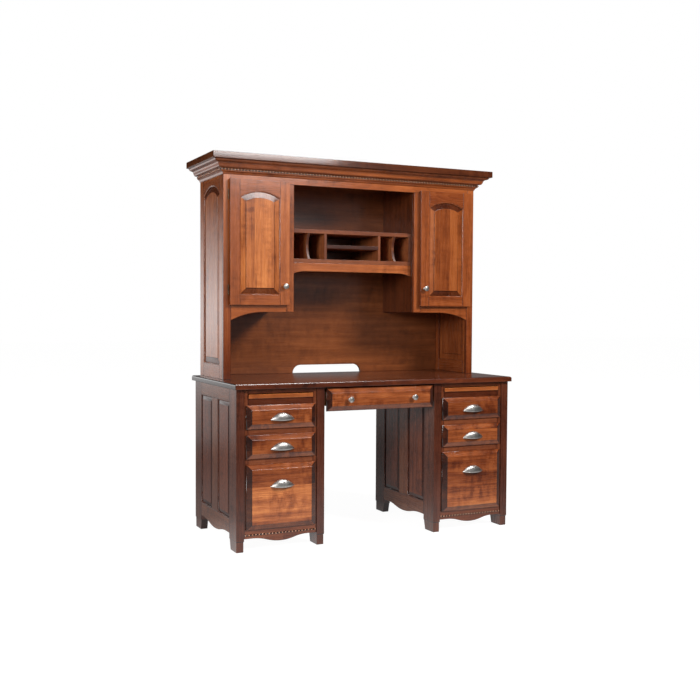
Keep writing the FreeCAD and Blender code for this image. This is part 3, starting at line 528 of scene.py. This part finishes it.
FINISHES = {
    "base": lacquered_wood("Base stain", (60, 30, 20), (96, 50, 33), (128, 74, 50),
                           rim_width=0.007, tone_depth=0.22),
    "face": lacquered_wood("Face frame stain", (72, 34, 20), (112, 58, 34), (142, 82, 50),
                           rim_width=0.007, tone_depth=0.22),
    "rail": lacquered_wood("Side rail stain", (82, 42, 26), (122, 70, 45), (154, 98, 66),
                           rim_width=0.006, tone_depth=0.22),
    "side": lacquered_wood("Side panel stain", (74, 34, 20), (115, 58, 35), (148, 82, 50),
                           rim_width=0.006, tone_depth=0.24, stave=0.12),
    "case": lacquered_wood("Hutch stain", (100, 48, 20), (152, 80, 38), (186, 108, 58),
                           rim_width=0.003, tone_depth=0.24),
    "cap": lacquered_wood("Cap stain", (70, 34, 19), (104, 56, 31), (134, 78, 46),
                          rim_width=0.003, tone_depth=0.16, gloss=0.18, coat=0.1),
    # The rope's pale colours are painted highlight on the strands, and its black end stain is painted shade in the core
    # and grooves
    "rope": lacquered_wood("Rope bead painted highlight and shade", (128, 80, 58), (174, 122, 94), (206, 160, 134),
                           rim_width=0.003, tone_depth=0.10, end_and_shade_stain=PAINTED_SHADE_BLACK, gloss=0.20),
    "drawer": lacquered_wood("Drawer front stain", (92, 40, 18), (148, 78, 40), (188, 112, 62),
                             rim_width=0.003, tone_depth=0.42, stave=0.085, end_and_shade_stain=DEEP_STAIN_AND_SHADE,
                             reach=0.16, curl=0.34),
    "file": lacquered_wood("File front stain", (92, 40, 18), (148, 78, 40), (188, 112, 62),
                           rim_width=0.003, tone_depth=0.55, stave=0.16, end_and_shade_stain=DEEP_STAIN_AND_SHADE, reach=0.16),
    "divider": lacquered_wood("Organizer stain", (96, 48, 24), (140, 78, 42), (174, 106, 62),
                              rim_width=0.002, tone_depth=0.20, gloss=0.50, coat=0.0),
    "strip": lacquered_wood("Writing board stain", (140, 74, 34), (190, 112, 58), (214, 140, 82),
                            rim_width=0.002, tone_depth=0.14, stave=0.104),
    "door": lacquered_wood("Door panel stain", (118, 58, 24), (174, 98, 47), (204, 126, 68),
                           rim_width=0.004, tone_depth=0.34, stave=0.088, reach=0.18, rise=DOOR_ARCH),
    "arch": lacquered_wood("Side arch stain", (100, 48, 20), (152, 80, 38), (186, 108, 58),
                           rim_width=0.003, tone_depth=0.24, rise=SIDE_ARCH),
    "top": lacquered_wood("Top stain", (58, 26, 16), (98, 48, 28), (134, 72, 44),
                          rim_width=0.010, tone_depth=0.22, stave=0.13, gloss=0.22, coat=0.5),
    "inside": lacquered_wood("Inside stain", (84, 42, 20), (122, 66, 33), (154, 90, 50),
                             rim_width=0.005, tone_depth=0.14, stave=0.32, gloss=0.30, coat=0.2),
    "box": lacquered_wood("Drawer box", (176, 138, 96), (206, 170, 122), (224, 194, 150),
                          rim_width=0.003, tone_depth=0.10, stave=0.12, rim_stain=DRY, end_and_shade_stain=DRY,
                          gloss=0.42, coat=0.2),
}
NICKEL = brushed_metal("Satin nickel", (0.60, 0.575, 0.545, 1.0), (0.44, 0.42, 0.40, 1.0), gloss=0.42)
ZINC = brushed_metal("Zinc steel", (0.55, 0.56, 0.57, 1.0), (0.42, 0.43, 0.44, 1.0), gloss=0.33)
BRONZE = brushed_metal("Aged bronze", (0.16, 0.10, 0.065, 1.0), (0.07, 0.045, 0.03, 1.0), gloss=0.38)


# Boards: a softened copy of each wooden node, with its grain

def corner_key(vertex):
    """A corner's place, to match the corners of loose triangles."""
    return tuple(round(value, WELD_DECIMALS) for value in vertex.co)


def number_boards(bm):
    """Give each face the number of the closed board that it belongs to; boards lie one after another."""
    layer = bm.faces.layers.int.new("board_number")
    open_edges = set()
    number = 0
    for face in bm.faces:
        face[layer] = number
        corners = [corner_key(vertex) for vertex in face.verts]
        for a, b in zip(corners, corners[1:] + corners[:1]):
            if (b, a) in open_edges:
                open_edges.remove((b, a))
            else:
                open_edges.add((a, b))
        if not open_edges:
            number += 1
    return layer, number


def board_faces(bm, layer, count):
    """The faces of each board, in the boards' order."""
    boards = [[] for number in range(count)]
    for face in bm.faces:
        boards[face[layer]].append(face)
    return boards


def once(parts):
    """Each part once, in the order in which they come, so that every run makes the same mesh."""
    return list(dict.fromkeys(parts))


def corners_of(faces):
    """The corners of some faces."""
    return once(vertex for face in faces for vertex in face.verts)


def joined_corners(start):
    """All corners that hang together with some corners."""
    found = dict.fromkeys(start)
    waiting = list(start)
    while waiting:
        vertex = waiting.pop()
        for edge in vertex.link_edges:
            other = edge.other_vert(vertex)
            if other not in found:
                found[other] = None
                waiting.append(other)
    return list(found)


def reach_of(vertices):
    """Lowest and highest corner of some vertices."""
    low = Vector([min(v.co[i] for v in vertices) for i in range(3)])
    high = Vector([max(v.co[i] for v in vertices) for i in range(3)])
    return low, high


def weld_boards(bm, layer, count):
    """Join each board's loose triangles into whole flat faces, without joining boards that touch."""
    for vertices in [corners_of(faces) for faces in board_faces(bm, layer, count)]:
        bmesh.ops.remove_doubles(bm, verts=vertices, dist=WELD)
    bmesh.ops.dissolve_limit(bm, angle_limit=FLAT_ANGLE, verts=bm.verts[:], edges=bm.edges[:])


def sharp_edges(bm):
    """The boards' outer corners."""
    return [e for e in bm.edges
            if len(e.link_faces) == 2 and e.is_convex and e.calc_face_angle() > ARRIS_ANGLE]


def round_over(bm, edges, width, segments):
    """Round some edges; returns the new faces."""
    made = bmesh.ops.bevel(bm, geom=edges, offset=width, offset_type="OFFSET", affect="EDGES",
                           segments=segments, profile=0.5, material=-1, clamp_overlap=True)
    return set(made["faces"])


def soften(bm, width, lip):
    """Round the boards' outer corners; a drawer front's outer lip, between its field and its back, is rounded more."""
    rounded = set()
    if lip:
        low, high = reach_of(bm.verts)
        inner = [e for e in sharp_edges(bm) if all(low.y + lip < v.co.y < high.y - lip for v in e.verts)]
        rounded |= round_over(bm, inner, lip, LIP_STEPS)
    arrises = [e for e in sharp_edges(bm) if not rounded.intersection(e.link_faces)]
    rounded |= round_over(bm, arrises, width, ARRIS_STEPS)
    rounded = {face for face in rounded if face.is_valid}
    for edge in bm.edges:
        if len(edge.link_faces) == 2 and edge.calc_face_angle() > CREASE_ANGLE:
            edge.smooth = any(face in rounded for face in edge.link_faces)


def tones_and_shade_of(node, middle):
    """A board's tone at its foot and at its head, which on some boards is painted shade: 1 for most."""
    for row in BOARD_TONES_AND_SHADE.get(node, ()):
        axis, low, high = row[:3]
        if low < middle[axis] < high:
            return row[3], row[-1]
    return 1.0, 1.0


def end_and_shade_share(node, face, along):
    """How much end stain a face takes: all on end grain; all on a pedestal panel's bevels and some on a drawer front's
    downward faces, both as painted shade.
    """
    share = min(1.0, abs(face.normal[along]) / END_GRAIN)
    # A pedestal panel's bevels take the end stain in full as painted shade along the frame
    if node == "pedestal_side_panels" and abs(face.normal.y) > END_GRAIN:
        share = 1.0
    # A drawer front's downward faces take some end stain as painted shade
    if node.endswith("_drawer_front") and face.normal.z < -END_GRAIN:
        share = max(share, UNDERSIDE_SHADE)
    return share


def lay_grain(bm, layer, count, node, along):
    """Write each vertex's place along, across and through its board, and the board's half sizes, seed and tone; on some
    boards the tone is painted shade.
    """
    grain = bm.verts.layers.float_vector.new("grain")
    board = bm.verts.layers.float_vector.new("board")
    tone_and_shade = bm.verts.layers.float.new("tone_and_shade")
    end = bm.faces.layers.float.new("end")
    lot = random.Random(node)
    bm.normal_update()
    for faces in board_faces(bm, layer, count):
        vertices = corners_of(faces)
        low, high = reach_of(vertices)
        size = high - low
        middle = (high + low) / 2
        axes = sorted(range(3), key=lambda i: (i != along, -size[i]))
        seed = CHOSEN_LOT.get(node, lot.random())
        foot, head = tones_and_shade_of(node, middle)
        for face in faces:
            face[end] = end_and_shade_share(node, face, axes[0])
        for vertex in vertices:
            offset = vertex.co - middle
            vertex[grain] = [offset[i] for i in axes]
            vertex[board] = (size[axes[0]] / 2, size[axes[1]] / 2, seed)
            # Tone runs from foot to head; on the hutch's end stiles this is a painted fall of light
            vertex[tone_and_shade] = foot + (head - foot) * (vertex.co.z - low.z) / size.z


def lay_place(bm, lot):
    """Give a carved piece the layers that its stain reads, along the frame's axes and without a rim."""
    grain = bm.verts.layers.float_vector.new("grain")
    board = bm.verts.layers.float_vector.new("board")
    tone_and_shade = bm.verts.layers.float.new("tone_and_shade")
    seed = lot.random()
    for vertex in bm.verts:
        vertex[grain] = vertex.co
        vertex[board] = (NO_RIM, NO_RIM, seed)
        vertex[tone_and_shade] = 1.0


def finish_piece(bm, name, material, body, replaced=()):
    """Turn a mesh into a piece that rides on its body and stands for the nodes it replaces."""
    mesh = bpy.data.meshes.new(name)
    bm.to_mesh(mesh)
    bm.free()
    mesh.shade_smooth()
    mesh.materials.append(material)
    piece = bpy.data.objects.new(name, mesh)
    scene.collection.objects.link(piece)
    weighted = piece.modifiers.new("Flat faces", "WEIGHTED_NORMAL")
    weighted.keep_sharp = True
    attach(piece, body)
    if replaced:
        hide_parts(*replaced)


def dress(node, finish, width, along):
    """Replace a node by a welded copy with softened corners and its own grain."""
    bm = bmesh.new()
    bm.from_mesh(nodes[node].data)
    layer, count = number_boards(bm)
    weld_boards(bm, layer, count)
    soften(bm, width, DRAWER_LIP if node.endswith("_drawer_front") else 0.0)
    lay_grain(bm, layer, count, node, along)
    finish_piece(bm, node + ".finished", FINISHES[finish], body_of[node], [node])


def dress_boards():
    """Dress every wooden node but the rope."""
    for node in sorted(nodes):
        if slot_of[node].endswith("_wood") and node != "rope_mouldings":
            row = next(row for row in WOOD_ROWS if fnmatch.fnmatchcase(node, row[0]))
            dress(node, *row[1:])


def dress_steel():
    """Plate the hinges and the drawer slides."""
    for node in sorted(nodes):
        if slot_of[node] == "steel":
            hinge = node.endswith("_leaves")
            for slot in nodes[node].material_slots:
                slot.material = BRONZE if hinge else ZINC


# Rope bead

def rope_run(bm, low, high):
    """Lay leaning strands along one straight run of half-round bead."""
    size = high - low
    middle = (low + high) / 2
    radius = size.z / 2
    along = 0 if size.x > size.y else 1
    across = 1 - along
    outward = FRONT if along == 0 else Vector((math.copysign(1, middle.x), 0, 0))
    seat = middle.copy()
    seat[across] = low[across] if outward[across] > 0 else high[across]
    run = Vector((0, 0, 0))
    run[along] = 1
    lean = math.cos(ROPE_LEAN) * run + math.sin(ROPE_LEAN) * UP
    turn = Matrix((lean, outward.cross(lean), outward)).transposed().to_4x4()
    half_long = ROPE_LENGTH * radius / math.sin(ROPE_LEAN)
    half_wide = ROPE_STRAND * ROPE_PITCH * math.sin(ROPE_LEAN)
    count = max(1, round((size[along] - 2 * radius) / ROPE_PITCH))
    pitch = size[along] / count
    made = []
    for i in range(count):
        place = seat + run * (low[along] - seat[along] + pitch * (i + 0.5))
        shape = Matrix.Translation(place) @ turn @ Matrix.Diagonal((half_long, half_wide, radius, 1))
        made += bmesh.ops.create_uvsphere(bm, u_segments=STRAND_SIDES, v_segments=STRAND_RINGS, radius=1.0,
                                          matrix=shape)["verts"]
    faces = once(face for vertex in made for face in vertex.link_faces)
    edges = once(edge for face in faces for edge in face.edges)
    cut = bmesh.ops.bisect_plane(bm, geom=made + edges + faces, plane_co=seat, plane_no=outward,
                                 clear_inner=True)
    rim = [part for part in cut["geom_cut"] if isinstance(part, bmesh.types.BMEdge)]
    bmesh.ops.holes_fill(bm, edges=rim, sides=0)
    return seat, outward, radius


def rope_bead(node):
    """Carved rope along the crown and the two aprons: leaning strands with a painted highlight on top and painted shade
    below, over a slim core in painted shade.
    """
    bm = bmesh.new()
    bm.from_mesh(nodes[node].data)
    layer, count = number_boards(bm)
    weld_boards(bm, layer, count)
    runs = []
    for faces in board_faces(bm, layer, count):
        vertices = corners_of(faces)
        low, high = reach_of(vertices)
        runs.append((low, high))
        middle = (low + high) / 2
        slim = [1.0, 1.0, ROPE_CORE]
        across = 1 if high.x - low.x > high.y - low.y else 0
        slim[across] = ROPE_CORE
        anchor = middle.copy()
        anchor[across] = high[across] if across == 1 or middle.x < 0 else low[across]
        bmesh.ops.scale(bm, vec=slim, verts=vertices, space=Matrix.Translation(-anchor))
    # The end layer paints shade on the core and on each strand below its painted highlight
    end = bm.faces.layers.float.new("end")
    for face in bm.faces:
        face[end] = 1.0
    for low, high in runs:
        known = set(bm.faces)
        seat, outward, radius = rope_run(bm, low, high)
        for face in set(bm.faces) - known:
            height = (face.calc_center_median() - seat).dot(outward)
            face[end] = 1.0 if height < ROPE_HIGHLIGHT_TOP * radius else 0.0
    bmesh.ops.recalc_face_normals(bm, faces=bm.faces[:])
    lay_place(bm, random.Random(node))
    finish_piece(bm, node + ".carved", FINISHES["rope"], body_of[node], [node])


# Moulded inner edges of the panelled frames

def opening_outline(bm, low, high, outward, rise):
    """Outline of a frame's opening, in front of the panel whose box is given; rise arches its top."""
    across = 0 if outward.y else 1
    depth = 1 - across
    half = (high[across] - low[across]) / 2 - PANEL_TONGUE
    floor = low.z + PANEL_TONGUE
    crest = high.z - PANEL_TONGUE
    face_place = low if min(outward) < 0 else high
    seat = (low + high) / 2
    seat[depth] = face_place[depth] + outward[depth] * (FIELD_DROP - EDGE_QUIRK)
    seat.z = 0
    turn = Matrix((UP.cross(outward), outward, UP)).transposed().to_4x4()
    place = Matrix.Translation(seat) @ turn
    foot = [bm.verts.new(place @ Vector((x, 0, floor))) for x in (-half, half)]
    if rise:
        radius = (half * half + rise * rise) / (2 * rise)
        first = bm.verts.new(place @ Vector((half, 0, crest - rise)))
        swept = bmesh.ops.spin(bm, geom=[first], cent=place @ Vector((0, 0, crest - radius)), axis=outward,
                               angle=2 * math.asin(half / radius), steps=ARCH_STEPS)
        last = [part for part in swept["geom_last"] if isinstance(part, bmesh.types.BMVert)][0]
        top = [first, last]
    else:
        top = [bm.verts.new(place @ Vector((x, 0, crest))) for x in (half, -half)]
        bm.edges.new(top)
    for pair in ((foot[0], foot[1]), (foot[1], top[0]), (top[1], foot[0])):
        bm.edges.new(pair)
    return once(edge for vertex in joined_corners(foot) for edge in vertex.link_edges)


def panel_outward(node, middle):
    """The side that a panel shows: to the front, out of the hutch, or out of its pedestal."""
    if node.endswith("_door_panel"):
        return FRONT
    side = math.copysign(1, middle.x)
    if node.startswith("pedestal_"):
        side *= math.copysign(1, abs(middle.x) - PEDESTAL_MIDDLE)
    return Vector((side, 0, 0))


def dress_edges(node, finish, rise):
    """Line every opening that a panel node fills with a rounded strip."""
    bm = bmesh.new()
    bm.from_mesh(nodes[node].data)
    layer, count = number_boards(bm)
    boxes = [reach_of(corners_of(faces)) for faces in board_faces(bm, layer, count)]
    bm.free()
    bm = bmesh.new()
    for low, high in boxes:
        outward = panel_outward(node, (low + high) / 2)
        outline = opening_outline(bm, low, high, outward, rise)
        sheet = bmesh.ops.edgeloop_fill(bm, edges=outline)["faces"]
        bmesh.ops.recalc_face_normals(bm, faces=sheet)
        for face in sheet:
            if face.normal.dot(outward) < 0:
                face.normal_flip()
        strip = []
        for inwards, backwards in EDGE_STEPS:
            strip += bmesh.ops.inset_region(bm, faces=sheet, thickness=inwards, depth=-backwards,
                                            use_boundary=True, use_even_offset=True)["faces"]
        bmesh.ops.delete(bm, geom=sheet, context="FACES_ONLY")
        bmesh.ops.solidify(bm, geom=strip, thickness=EDGE_WALL)
    lay_place(bm, random.Random(node + "_edge"))
    finish_piece(bm, node + ".edge", FINISHES[finish], body_of[node])


# Cup pulls and knobs

def cup_pull(node):
    """Cup pull: a domed sheet that is open below, with a rolled lip and a thin bead where it meets the drawer."""
    low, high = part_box(node)
    half = (high.x - low.x) / 2
    reach = high.y - low.y
    height = high.z - low.z
    tall = height / reach
    bow = (half * half + reach * reach) / (2 * reach)
    sweep = 2 * math.asin(half / bow)
    axis = Vector((0, bow - reach, 0))
    tilt = math.asin(PULL_DIP / reach)
    bm = bmesh.new()
    first = bm.verts.new((-half, 0, 0))
    bmesh.ops.spin(bm, geom=[first], cent=axis, axis=UP, angle=sweep, steps=BOW_STEPS)
    bmesh.ops.rotate(bm, verts=bm.verts[:], cent=(0, 0, 0), matrix=Matrix.Rotation(tilt / tall, 3, "X"))
    bmesh.ops.spin(bm, geom=bm.verts[:] + bm.edges[:], cent=(0, 0, 0), axis=(-1, 0, 0),
                   angle=math.pi / 2 + tilt / tall, steps=DOME_STEPS)
    bmesh.ops.remove_doubles(bm, verts=bm.verts[:], dist=WELD)
    bmesh.ops.recalc_face_normals(bm, faces=bm.faces[:])
    if sum(face.normal.y for face in bm.faces) > 0:
        bmesh.ops.reverse_faces(bm, faces=bm.faces[:])
    bmesh.ops.solidify(bm, geom=bm.faces[:], thickness=PULL_WALL)
    for turn, size in ((tilt, PULL_LIP), (-math.pi / 2, PULL_BEAD)):
        stand = Matrix.Translation((-half + size, 0, 0)) @ Matrix.Rotation(math.pi / 2, 4, "X")
        ring = bmesh.ops.create_circle(bm, cap_ends=False, radius=size, segments=ROLL_STEPS,
                                       matrix=stand)["verts"]
        edges = once(edge for vertex in ring for edge in vertex.link_edges)
        bmesh.ops.spin(bm, geom=ring + edges, cent=axis, axis=UP, angle=sweep, steps=BOW_STEPS)
        bead = joined_corners(ring)
        bmesh.ops.rotate(bm, verts=bead, cent=(0, 0, 0), matrix=Matrix.Rotation(turn, 3, "X"))
        faces = once(face for vertex in bead for face in vertex.link_faces)
        bmesh.ops.recalc_face_normals(bm, faces=faces)
    bmesh.ops.scale(bm, vec=(1, 1, tall), verts=bm.verts[:])
    bmesh.ops.translate(bm, verts=bm.verts[:], vec=((low.x + high.x) / 2, high.y, low.z))
    finish_piece(bm, node + ".domed", NICKEL, body_of[node], [node])


def turned_knob(bm, foot, length, radius):
    """Knob turned about a line towards the front, with a stepped face."""
    points = [bm.verts.new((foot.x + r * radius, foot.y - t * length, foot.z)) for t, r in KNOB_PROFILE]
    edges = [bm.edges.new(pair) for pair in zip(points, points[1:])]
    bmesh.ops.spin(bm, geom=points + edges, cent=foot, axis=(0, 1, 0), angle=2 * math.pi, steps=KNOB_STEPS,
                   use_merge=True)
    bmesh.ops.remove_doubles(bm, verts=bm.verts[:], dist=WELD)


def knobs(node, count):
    """A node's knob, or one at each of its ends."""
    low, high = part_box(node)
    radius = (high.z - low.z) / 2
    middle = (high.z + low.z) / 2
    bm = bmesh.new()
    for x in (low.x + radius, high.x - radius)[:count]:
        turned_knob(bm, Vector((x, high.y, middle)), high.y - low.y, radius)
    bmesh.ops.recalc_face_normals(bm, faces=bm.faces[:])
    finish_piece(bm, node + ".turned", NICKEL, body_of[node], [node])


def dress_handles():
    """Replace every pull and knob."""
    for node in sorted(nodes):
        if node.endswith("_pull"):
            cup_pull(node)
        elif node.endswith("_knob"):
            knobs(node, 1)
        elif node.endswith("_knobs"):
            knobs(node, 2)


# Stage, light and camera

def softbox(name, place, target, width, height, power, colour=(1.0, 1.0, 1.0), lights=True, mirrored=True):
    """A lamp that the camera doesn't see; it may light the desk, or be mirrored in its lacquer, or both."""
    lamp = bpy.data.lights.new(name, "AREA")
    lamp.shape = "RECTANGLE"
    lamp.size = width
    lamp.size_y = height
    lamp.energy = power
    lamp.color = colour
    holder = bpy.data.objects.new(name, lamp)
    holder.location = place
    holder.rotation_euler = (Vector(target) - Vector(place)).to_track_quat("-Z", "Y").to_euler()
    holder.visible_camera = False
    holder.visible_diffuse = lights
    holder.visible_glossy = mirrored
    scene.collection.objects.link(holder)


def stage_sheet(name, stand, size):
    """A flat square of the stage; returns it, its material's nodes and shader, and the place on it."""
    bm = bmesh.new()
    bmesh.ops.create_grid(bm, x_segments=1, y_segments=1, size=size, matrix=stand)
    mesh = bpy.data.meshes.new(name)
    bm.to_mesh(mesh)
    bm.free()
    sheet = bpy.data.objects.new(name, mesh)
    scene.collection.objects.link(sheet)
    material, tree, shader = new_material(name)
    mesh.materials.append(material)
    return sheet, tree, shader, split(tree, add(tree, "ShaderNodeTexCoord").outputs["Object"])


def studio_floor():
    """Pale floor: white to the camera, brighter near the desk in its mirror image, and soft in its bounced light."""
    tree, bounce, place = stage_sheet("Floor", Matrix(), FLOOR_SIZE)[1:]
    bounce.inputs["Roughness"].default_value = FLOOR_ROUGHNESS
    bounce.inputs["Base Color"].default_value = FLOOR_BOUNCE
    front = spread(tree, place[1], *FLOOR_FRONT)
    under = spread(tree, place[1], *FLOOR_UNDER)
    behind = spread(tree, place[1], *FLOOR_BEHIND)
    right = spread(tree, place[0], *FLOOR_RIGHT)
    near = maths(tree, "MULTIPLY", maths(tree, "MULTIPLY", front, under), maths(tree, "MULTIPLY", behind, right))
    mirrored = add(tree, "ShaderNodeEmission", {"Strength": near}).outputs[0]
    glow = add(tree, "ShaderNodeEmission", {"Color": WHITE, "Strength": FLOOR_GLOW}).outputs[0]
    matt = add(tree, "ShaderNodeBsdfDiffuse", {"Color": FLOOR_SHADE}).outputs[0]
    white = add(tree, "ShaderNodeAddShader", {0: glow, 1: matt}).outputs[0]
    path = add(tree, "ShaderNodeLightPath").outputs
    other = add(tree, "ShaderNodeMixShader", {0: path["Is Glossy Ray"], 1: bounce.outputs[0], 2: mirrored})
    seen = add(tree, "ShaderNodeMixShader", {0: path["Is Camera Ray"], 1: other.outputs[0], 2: white})
    tree.links.new(seen.outputs[0], tree.nodes["Material Output"].inputs["Surface"])


def studio_backdrop():
    """Lit card behind the desk that shows only as a sheen on the lacquer."""
    stand = Matrix.Translation((0.0, BACKDROP_PLACE, 0.0)) @ Matrix.Rotation(math.pi / 2, 4, "X")
    card, tree, shader, place = stage_sheet("Backdrop", stand, BACKDROP_SIZE)
    tree.nodes.remove(shader)
    low = spread(tree, place[2], *BACKDROP_LOW)
    high = spread(tree, place[2], *BACKDROP_HIGH)
    left = spread(tree, place[0], *BACKDROP_LEFT)
    level = maths(tree, "MULTIPLY", maths(tree, "MULTIPLY", low, high), left)
    lit = add(tree, "ShaderNodeEmission", {"Strength": level})
    tree.links.new(lit.outputs[0], tree.nodes["Material Output"].inputs["Surface"])
    card.visible_camera = False
    card.visible_diffuse = False
    card.visible_shadow = False


def studio_room():
    """White to the camera, dim in its light, and dimmer in mirror images."""
    world = bpy.data.worlds.new("Studio")
    world.use_nodes = True
    tree = world.node_tree
    seen = add(tree, "ShaderNodeBackground", {"Color": WHITE, "Strength": 1.0}).outputs[0]
    path = add(tree, "ShaderNodeLightPath").outputs
    level = spread(tree, path["Is Glossy Ray"], 0.0, 1.0, ROOM_LIGHT, ROOM_SHEEN)
    fill = add(tree, "ShaderNodeBackground", {"Color": ROOM_COLOUR, "Strength": level}).outputs[0]
    mixed = add(tree, "ShaderNodeMixShader", {0: path["Is Camera Ray"], 1: fill, 2: seen})
    tree.links.new(mixed.outputs[0], tree.nodes["World Output"].inputs[0])
    scene.world = world


def studio_lamps():
    """Key light from the right, a softbox on the left, and three that only shine in the lacquer."""
    softbox("Key softbox", place=(3.4, -5.2, 4.6), target=(0.0, 0.0, 1.0), width=2.2, height=1.4, power=505,
            colour=KEY_COLOUR, mirrored=False)
    softbox("Left softbox", place=(-5.0, -3.6, 2.4), target=(-0.3, 0.0, 0.7), width=2.0, height=1.6, power=210)
    softbox("Hutch softbox", place=(-0.14, -1.1, 2.14), target=(-0.14, 0.0, 1.75), width=0.9, height=0.18,
            power=11.5, lights=False)
    softbox("Front card", place=(1.3, -4.7, 1.85), target=(-0.4, 0.0, 1.5), width=2.2, height=1.5, power=7.5,
            lights=False)
    softbox("High softbox", place=(0.9, -1.4, 4.2), target=(0.0, -0.2, 0.8), width=1.6, height=0.8, power=130,
            lights=False)


def camera():
    """The photographer's camera."""
    lens = bpy.data.cameras.new("Camera")
    lens.lens = CAMERA_LENS
    lens.sensor_width = CAMERA_SENSOR
    holder = bpy.data.objects.new("Camera", lens)
    turn = Matrix.Rotation(-CAMERA_YAW, 4, "Z") @ Matrix.Rotation(math.pi / 2 - CAMERA_PITCH, 4, "X")
    holder.matrix_world = Matrix.Translation(CAMERA_PLACE) @ turn @ Matrix.Rotation(CAMERA_ROLL, 4, "Z")
    scene.collection.objects.link(holder)
    scene.camera = holder


dress_boards()
dress_steel()
dress_handles()
rope_bead("rope_mouldings")
dress_edges("left_door_panel", "case", DOOR_ARCH)
dress_edges("right_door_panel", "case", DOOR_ARCH)
dress_edges("hutch_side_panels", "case", SIDE_ARCH)
dress_edges("pedestal_side_panels", "base", 0.0)
studio_floor()
studio_backdrop()
studio_room()
studio_lamps()
camera()
scene.view_settings.view_transform = "Standard"
